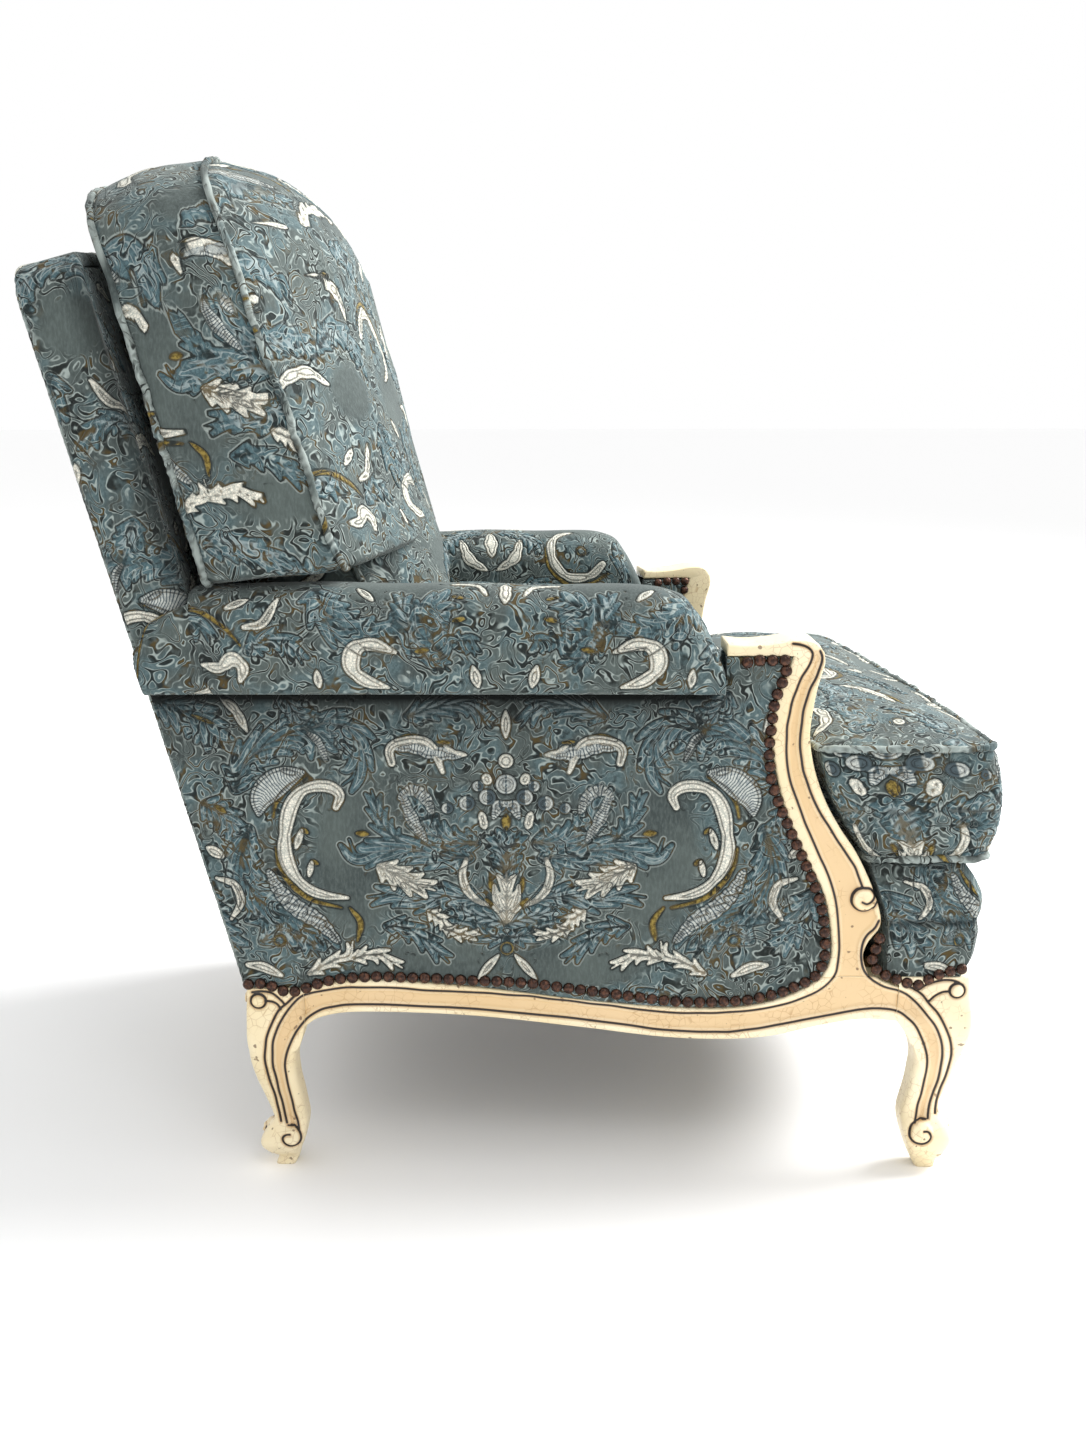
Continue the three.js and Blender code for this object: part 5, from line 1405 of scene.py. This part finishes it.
def tube(name, line, radius, body, wobble, closed=True, cloth_offset=(0, 0)):
    """A covered cord along a line."""
    along = np.roll(line, -1, 0) - np.roll(line, 1, 0) if closed else np.gradient(line, axis=0)
    along /= np.linalg.norm(along, axis=1)[:, None] + 1e-9
    first = np.cross(along, (0.31, 0.17, 0.93))
    first /= np.linalg.norm(first, axis=1)[:, None]
    second = np.cross(along, first)
    run = lengths(line)[:, None]
    a = (2 * np.pi * np.arange(10) / 10)[None]
    twist = 0.09 * np.sin(2 * np.pi * run / 9.0 + a)
    size = radius * (1 + wobble * noise3(line, 9.0, 11)[:, None] + twist)[..., None]
    outward = np.cos(a)[..., None] * first[:, None] + np.sin(a)[..., None] * second[:, None]
    rings = line[:, None] + size * outward
    fields = cloth(run + cloth_offset[0], cloth_offset[1] + radius * a)
    fields["cream"] = np.full(twist.shape, FAR_OFF)
    # Painted highlight: the cords sit mostly in the leaves' pale halo band, so they read as lit
    fields["leaf"] = 2.1 + 1.2 * noise3(rings, 40.0, 6)
    # Painted shade in the grooves of the cord's twist
    fields["painted_shade"] = 0.6 * ease(-0.05, -0.09, twist)
    if closed:
        faces = [grid_faces(*rings.shape[:2], closed=True, ring=True)]
        add_mesh(name, rings, faces, DAMASK, body, (), fields)
    else:
        loft_mesh(name, rings, DAMASK, body, (), fields)


COARSE_STEP, FINE_STEP = 9.0, 3.3


def cushion(name, shape_at, low, high, crowns, place, body, cloth_at, cap, held_foot):
    """A loose cushion: boxed rings, swollen by simulation, then its creases, embossed cloth and two welts."""
    low_crown, crown, power, puff = crowns
    crown -= 0 if held_foot else 4
    foot_count = 24 if held_foot else 34
    grid, parts = boxed_rings(shape_at, low, high, low_crown, crown, power, puff, COARSE_STEP, 34, foot_count)
    grid = swollen(grid, parts, cap, held_foot)
    around = int(grid.shape[1] * COARSE_STEP / FINE_STEP)
    counts = (36 if held_foot else 76, int((high - low) / 2.9), 96)
    grid, seams = refined(grid, parts, counts, around)
    fields = cloth(*np.moveaxis(cloth_at(grid, seams), -1, 0))
    points = place(grid)
    wrapped = np.concatenate([points[:, -1:], points, points[:, :1]], 1)
    normal = normals_from(wrapped, points.reshape(-1, 3).mean(0))[:, 1:-1]
    rows = np.arange(len(points), dtype=float)[:, None]
    seam_near = np.minimum(np.abs(rows - seams[0]), np.abs(rows - seams[1])) * FINE_STEP
    crease = noise3(points, 16.0, 21) * ease(34, 4, seam_near) * 0.9
    broad = noise3(points, 80.0, 9) * 2.0 * ease(0, 40, seam_near)
    pole = ease(0, 6, np.minimum(rows, len(points) - 1 - rows))
    sink = 2.2 * np.exp(-((seam_near / 5.0) ** 2))
    lift = (embossed(fields) + crease + broad) * pole - sink
    points = points + normal * lift[..., None]
    piece = loft_mesh(name, points, DAMASK, body, [body], fields)
    for k, row in enumerate(seams):
        line = points[row] + normal[row] * 2.6
        line = line + normal[row] * (0.9 * noise3(line, 13.0, 31 + k))[:, None]
        tube(f"{name}_welt_{k + 1}", line, 3.6, body, wobble=0.12, cloth_offset=(40 * k, 300))


# The fixed back: a border round its sides and top, a panel behind and a pad in front

BACK_HEIGHT, BACK_ARCH, BACK_CORNER = 730.0, 16.0, 38.0
ARM_LEVEL_UP = (ROLL_BOTTOM - REAR_LEG_TOP) / math.cos(RAKE)
BORDER = 13.0


def back_edge(inset, base):
    """The right half of the back's outline, from its base to the middle of the arch."""
    shoulder = BACK_HEIGHT - BACK_ARCH - inset
    bend = max(BACK_CORNER - inset, 8.0)
    half = back_half(shoulder, inset)

    def arch(x):
        return shoulder + BACK_ARCH * (1 - (x / half) ** 2)

    t = np.linspace(0, 1, 14)[:, None]
    a = np.array([back_half(shoulder - bend, inset), shoulder - bend])
    b = np.array([half, shoulder])
    c = np.array([half - bend, arch(half - bend)])
    corner = a * (1 - t) ** 2 + 2 * b * t * (1 - t) + c * t * t
    xs = np.linspace(half - bend, 0, 40)[1:]
    return np.vstack([[(back_half(base, inset), base)], corner, np.stack([xs, arch(xs)], -1)])


def whole(edge, count):
    return even(both_halves(edge), count)


COVER_STEP, BORDER_RUN = 2.6, 1480


def back_border():
    base = ARM_LEVEL_UP + 0.5
    count = int(BORDER_RUN / COVER_STEP)
    r, near, far = 7.0, 0.3, BACK_DEPTH - 0.3
    turn = np.linspace(0, np.pi / 2, 6)
    profile = np.vstack([
        np.stack([np.zeros(22), np.linspace(near + r, far - r, 22)], -1),
        np.stack([r * (1 - np.cos(turn)), far - r + r * np.sin(turn)], -1)[1:],
        [(BORDER, far), (BORDER, near)],
        np.stack([r * (1 - np.sin(turn)), near + r - r * np.cos(turn)], -1)[:-1],
    ])
    rings = [
        np.column_stack([whole(back_edge(inset, base), count), np.full(count, depth)])
        for inset, depth in profile
    ]
    across, up, depth = np.moveaxis(np.array(rings).swapaxes(0, 1), -1, 0)
    run = np.linspace(0, BORDER_RUN, count)[:, None]
    run = np.minimum(run, BORDER_RUN - run)
    fields = cloth(depth - 31 + 205, 330 + run)
    points = back_point(across, up, depth)
    inside = back_point(across * 0.9, up * 0.9 + 30, 31)
    normal = normals_from(points, inside)
    on_face = (profile[:, 0] < BORDER - 0.5).astype(float)
    # Painted shade along the border's front, where the back cushion meets it, fading out towards its top
    fields["painted_shade"] = 0.75 * ease(34, 60, depth) * ease(BACK_HEIGHT, BACK_HEIGHT - 50, up)
    lift = (embossed(fields) + 1.2 * noise3(points, 70.0, 14)) * on_face * ease(0, 5, run)
    clothed("back_border_cover", points + normal * lift[..., None], "back_border", fields)


BACK_CLOTH_UP = 180


def back_form(name, node, edge, depths, crowns, step, faces):
    """A panel or pad in the plane of the back, from a closed outline."""
    count = int(lengths(edge)[-1] / step)
    line = even(np.vstack([edge, edge[:1]]), count + 1)[:-1]
    low_up, high_up = line[:, 1].min(), line[:, 1].max()
    ridge = (low_up + 0.42 * (high_up - low_up), low_up + 0.58 * (high_up - low_up))
    rings = []

    def ring(share, depth, inset=0.0):
        rings.append(drawn_in(line, ridge, share * (1 - inset / 300.0), depth))

    r = min(4.0, (depths[1] - depths[0]) / 2)
    for share in np.linspace(0.03, 1, faces[0])[:-1]:
        ring(share, depths[0] - crowns[0] * (1 - share**2.3))
    for a in np.linspace(0, np.pi / 2, 5):
        ring(1, depths[0] + r * (1 - math.cos(a)), r * (1 - math.sin(a)))
    for a in np.linspace(np.pi / 2, 0, 5):
        ring(1, depths[1] - r * (1 - math.cos(a)) + 1e-3, r * (1 - math.sin(a)))
    for share in np.linspace(1, 0.03, faces[1])[1:]:
        ring(share, depths[1] + crowns[1] * (1 - share**2.3))
    across, up, depth = np.moveaxis(np.array(rings), -1, 0)
    fields = cloth(across, up + BACK_CLOTH_UP)
    points = back_point(across, up, depth)
    face = np.sign(depth - sum(depths) / 2)
    front = back_point(0, 0, 1) - back_point(0, 0, 0)
    rim = ease(0, 4, np.abs(np.arange(len(rings)) - (faces[0] + 4.5)) - 5)[:, None]
    lift = (embossed(fields) + 0.8 * noise3(points, 90.0, 17)) * rim
    clothed(name, points + (face * lift)[..., None] * front, node, fields)


def back_panels():
    outer = both_halves(back_edge(BORDER + 0.4, 2.0))
    back_form("back_outside_cover", "outer_back_panel", outer, (0.0, 7.7), (3.0, 0.0), 3.2, (120, 4))
    narrow = back_half(ARM_LEVEL_UP, INNER_FACE + 1)
    upper = back_edge(BORDER + 0.4, ARM_LEVEL_UP)
    pad = both_halves(np.vstack([(narrow, 117.0), (narrow, ARM_LEVEL_UP - 1), upper]))
    back_form("back_inside_cover", "back_pad", pad, (42.4, BACK_DEPTH - 0.4), (0.0, 3.0), 5.0, (4, 70))
    line = whole(back_edge(BORDER - 0.5, 2.0), 600)
    tube("back_outside_welt", back_point(*line.T, -0.6), 2.6, "chair_frame", wobble=0.06, closed=False)


FRONT_ROLL = [
    (0.18, 0), (0.18, 0.46), (0, 1), (0.42, 1), (0.74, 1), (0.87, 0.9), (0.96, 0.77), (1, 0.65),
    (0.98, 0.43), (0.96, 0.28), (0.93, 0.13), (0.86, 0),
]
ROLL_BACK_AT, ROLL_FRONT_AT, ROLL_BASE, ROLL_SEAM, DECK_TOP = 412.0, 527.0, 212.3, 268.0, 333.0


def front_roll():
    profile = np.vstack([
        even(np.array(FRONT_ROLL[:3]), 40), even(np.array(FRONT_ROLL[2:4]), 16)[1:],
        smooth_line(FRONT_ROLL[3:], 0.01)[1:],
    ])
    size = np.array([ROLL_FRONT_AT - ROLL_BACK_AT, DECK_TOP - ROLL_BASE])
    mm = even(np.vstack([profile * size, (profile * size)[:1]]), int(430 / COVER_STEP))[:-1]
    run = lengths(mm)[None]
    across = np.linspace(1, -1, int(740 / COVER_STEP))[:, None]
    share = mm[None, :, 0] / size[0]
    straight = (ROLL_BACK_AT + mm[None, :, 0]) * math.cos(SPLAY)
    x = across * half_at(-straight, 2.0)
    tuck = 5.0 * ease(330, 340, np.abs(across) * 340)
    centre = ((ROLL_BACK_AT + 60) * math.cos(SPLAY), ROLL_BASE + 62)
    forward = straight + FRONT_BOW * share * (1 - across**2)
    forward = forward - tuck * np.sign(forward - centre[0]) * (share > 0.5)
    up = ROLL_BASE + mm[None, :, 1] - tuck * ease(0.6, 1, mm[None, :, 1] / size[1])
    points = np.stack([x, -forward + SHIFT, up], -1)
    fields = cloth(x, 560 - run)
    normal = normals_from(points, np.stack(np.broadcast_arrays(x, SHIFT - centre[0], centre[1]), -1))
    seam_near = np.abs(up - ROLL_SEAM) + 60 * (share < 0.5)
    # Painted shade along the roll's seam and under the seat cushion's edge
    fields["painted_shade"] = 0.75 * np.exp(-((seam_near / 4.5) ** 2)) + 0.8 * np.exp(-(DECK_TOP - up) / 9)
    lift = embossed(fields) + 1.5 * noise3(points, 60.0, 4) - 2.5 * np.exp(-((seam_near / 7) ** 2))
    lift = lift * (share > 0.25) * ease(ROLL_BASE, ROLL_BASE + 6, up)
    points = points + normal * lift[..., None]
    first, first_fields = end_rings(points[0], mm, size, 1)
    last, last_fields = end_rings(points[-1], mm, size, -1)
    points = np.concatenate([first[::-1], points, last])
    fields = {k: np.concatenate([first_fields[k][::-1], fields[k], last_fields[k]]) for k in fields}
    clothed("seat_front_cover", points, "seat_front_roll", fields)


def end_rings(rim, mm, size, way):
    """Cloth over an end of the front roll: rings that close in on its middle, with a seam along it."""
    shares = np.linspace(0.985, 0.02, 34)[:, None]
    middle = np.array([0.42 * size[0], 0.5 * size[1]])
    flat = middle + (mm - middle)[None] * shares[..., None]
    hub = rim.mean(0)
    rings = hub + (rim - hub)[None] * shares[..., None]
    up = ROLL_BASE + flat[..., 1]
    fields = cloth(ROLL_BACK_AT + flat[..., 0] - CLOTH_MIDDLE, up)
    seam = np.exp(-(((up - ROLL_SEAM) / 4.5) ** 2))
    # Painted shade along the seam and under the seat cushion's edge
    fields["painted_shade"] = 0.75 * seam + 0.8 * np.exp(-(DECK_TOP - up) / 9)
    swell = 2.4 * ease(1.0, 0.8, shares) + 0.8 * embossed(fields) - 3.2 * seam * ease(1.0, 0.94, shares)
    rings[..., 0] += way * swell
    return rings, fields


# The hidden carcass keeps its solids

PLAIN = {"timber": TIMBER, "webbing": WEBBING, "hessian": HESSIAN, "lining": LINING, "spring_steel": STEEL}


def finish_carcass():
    slots = {p["node"]: p["material_slot"] for p in frame["record"]["subparts"]}
    for node, solid in frame["nodes"].items():
        material = PLAIN.get(slots[node], DECK_CLOTH if node == "seat_deck" else PAINT)
        solid.data.materials.clear()
        solid.data.materials.append(material)


DECK_CLOTH = woven_material("deck_cloth", "4A5A60", "6A7B82", 1.2)


def boxing(grid, seams):
    """Which rows of a cushion are its boxing, and how far round it each column lies."""
    seam = grid[seams[0], :, :2]
    rows = np.arange(len(grid))[:, None]
    return (rows >= seams[0]) & (rows <= seams[1]), lengths(np.concatenate([seam, seam[:1]]))[:-1]


def seat_cloth(grid, seams):
    wall, run = boxing(grid, seams)
    run = run - run[np.argmax(grid[seams[0], :, 0] - grid[seams[0], :, 1])]
    across = np.where(wall, run[None] - 120.0, grid[..., 0])
    up = np.where(wall, 300.0 + grid[..., 2] - SEAT_BOTTOM, -grid[..., 1] + 340.0)
    return np.stack([across, up], -1)


def back_cloth(grid, seams):
    wall, run = boxing(grid, seams)
    up = np.where(wall, np.minimum(run, run[-1] - run)[None] + 160.0, grid[..., 1] + 160.0)
    across = np.where(wall, grid[..., 2] - 145.0 - 120.0, grid[..., 0])
    return np.stack([across, up], -1)


def flat_place(grid):
    """The seat cushion in place; its front and its ears' sides are plumper than its seams."""
    plump = np.sin(np.pi * np.clip((grid[..., 2] - SEAT_BOTTOM) / BOXING, 0, 1))
    plump = plump * ease(430, 480, -grid[..., 1])
    x = grid[..., 0] * (1 + 0.012 * plump)
    return np.stack([x, grid[..., 1] - 9 * plump + SHIFT, grid[..., 2]], -1)


def back_place(grid):
    """The back cushion settled in place: its foot pushed forward, its head leaning over the chair's back."""
    up = grid[..., 1]
    ahead = ease(BACK_LOW, BACK_LOW + BACK_BOXING, grid[..., 2])
    crown = np.maximum(grid[..., 2] - BACK_LOW - BACK_BOXING, 0)
    fuller = crown * (np.interp(up, (380, 585, 690, 770), (0.84, 0.92, 1.02, 1.18)) - 1)
    lean = fuller + ahead * (20 * ease(430, 290, up) - 9 * ease(470, 640, up)) - 11 * ease(660, 770, up)
    return back_point(grid[..., 0], up, grid[..., 2] + lean)


def cushions():
    # Crowns below and above, the power of the crown's swell, and the boxing's puff
    crowns = (0.0, SEAT_CROWN - 6, 2.3, 0.018)
    cushion(
        "seat_cushion_cover", seat_shape, SEAT_BOTTOM, SEAT_BOTTOM + BOXING, crowns, flat_place,
        "seat_cushion", seat_cloth, 24.0, True,
    )
    crowns = (BACK_REAR_CROWN - 8, BACK_CROWN - 8, 2.9, 0.04)
    cushion(
        "back_cushion_cover", back_shape, BACK_LOW, BACK_LOW + BACK_BOXING, crowns, back_place,
        "back_cushion", back_cloth, 26.0, False,
    )


NAIL_LINE = [
    (285, 529), (297, 531), (309, 531), (323, 530), (321, 517), (317, 505), (313, 494), (311, 482),
    (310, 470), (309, 458), (308, 446), (309, 434), (310, 423), (312, 411), (316, 400), (320, 388),
    (325, 377), (330, 366), (335, 355), (340, 345), (345, 334), (350, 323), (355, 312), (359, 302),
    (363, 291), (366, 278), (368, 267), (369, 254), (370, 242), (369, 231), (365, 219), (358, 211),
    (347, 205), (335, 200), (324, 195), (310, 192), (292, 188), (272, 187), (247, 186), (222, 187),
    (197, 190), (167, 194), (137, 198), (108, 202), (78, 206), (48, 208), (18, 209), (-12, 211), (-41, 212),
    (-71, 213), (-96, 212), (-116, 210), (-131, 206), (-145, 201), (-158, 197), (-165, 197), (-174, 201),
    (-185, 205), (-196, 206), (-202, 205),
]
FRONT_NAIL_LINE = [
    (423, 253), (421, 244), (417, 235), (419, 224), (426, 217), (437, 212), (448, 208), (458, 205),
    (466, 205), (475, 211), (485, 216), (495, 219), (506, 221),
]


def build():
    for side, name in ((RIGHT, "right"), (LEFT, "left")):
        near = side == RIGHT
        side_rail(side, name)
        arm_post(side, name)
        reach = [(up, -0.14 if up > 0.78 else outer, inner) for up, outer, inner in FRONT_LEG]
        leg(side, name, (FRONT_LEG, reach), FRONT_LEG_TOP, FRONT_BLOCK, FRONT_CORNER, -1, "front_leg", 0.069)
        leg(side, name, (REAR_LEG, REAR_LEG), REAR_LEG_TOP, REAR_BLOCK, REAR_CORNER, 1, "rear_leg", 0.1)
        outer_panel(side, name, 1.8 if near else 2.4)
        inner_panel(side, name, 3.0)
        arm_roll(side, name, 2.0 if near else 2.6)
        nails("side_nails_" + name, NAIL_LINE, side)
        nails("front_nails_" + name, FRONT_NAIL_LINE, side)
        nails("inner_nails_" + name, NAIL_LINE[:10], side, INNER_FACE, way=1)
    front_line = FRONT_CORNER * math.cos(SPLAY) - 3
    cross_rail("front_rail_carved", "front_rail", front_line, FRONT_BLOCK, FRONT_LEG_TOP, 32.0, FRONT_BOW, -1)
    cross_rail("rear_rail_carved", "rear_rail", REAR_LINE - 4, REAR_BLOCK, REAR_LEG_TOP, 26.0, 0.0, 1)
    back_border()
    back_panels()
    front_roll()
    cushions()
    finish_carcass()


def camera():
    """The photograph's viewpoint: level with the arm's height, off to the sitter's right."""
    turn, tilt = math.radians(3.622), math.radians(11.957)
    data = bpy.data.cameras.new("camera")
    data.sensor_fit = "VERTICAL"
    data.sensor_height = 24.0
    data.lens = 24.0 * 1530 / 1448
    data.clip_start, data.clip_end = 0.05, 100.0
    eye = bpy.data.objects.new("camera", data)
    eye.location = (-1.773, 0.08, 0.7731)
    look = Vector((math.cos(turn) * math.cos(tilt), -math.sin(turn) * math.cos(tilt), -math.sin(tilt)))
    eye.rotation_euler = look.to_track_quat("-Z", "Y").to_euler()
    bpy.context.scene.collection.objects.link(eye)
    bpy.context.scene.camera = eye


CHAIR_MIDDLE = (0, 0, 0.5)


def light(name, place, size, power):
    """A round lamp that looks at the chair's middle."""
    data = bpy.data.lights.new(name, "AREA")
    data.shape = "DISK"
    data.size = size
    data.energy = power
    lamp = bpy.data.objects.new(name, data)
    lamp.location = place
    lamp.rotation_euler = (Vector(CHAIR_MIDDLE) - Vector(place)).to_track_quat("-Z", "Y").to_euler()
    bpy.context.scene.collection.objects.link(lamp)


def studio():
    mesh = bpy.data.meshes.new("floor")
    mesh.from_pydata([(-40, -40, 0), (40, -40, 0), (40, 40, 0), (-40, 40, 0)], [], [(0, 1, 2, 3)])
    floor = bpy.data.objects.new("floor", mesh)
    bpy.context.scene.collection.objects.link(floor)
    n = Nodes("floor")
    n.shader.inputs["Base Color"].default_value = (0.97, 0.97, 0.97, 1)
    n.shader.inputs["Roughness"].default_value = 0.9
    mesh.materials.append(n.material)
    world = bpy.data.worlds.new("studio")
    world.use_nodes = True
    world.node_tree.nodes["Background"].inputs[0].default_value = (1, 1, 1, 1)
    world.node_tree.nodes["Background"].inputs[1].default_value = 1.0
    bpy.context.scene.world = world
    light("key", (-2.6, -0.9, 3.0), 1.2, 12)
    light("front", (0.8, -3.0, 3.2), 2.6, 300)
    bpy.context.scene.view_settings.view_transform = "Standard"


camera()
build()
studio()
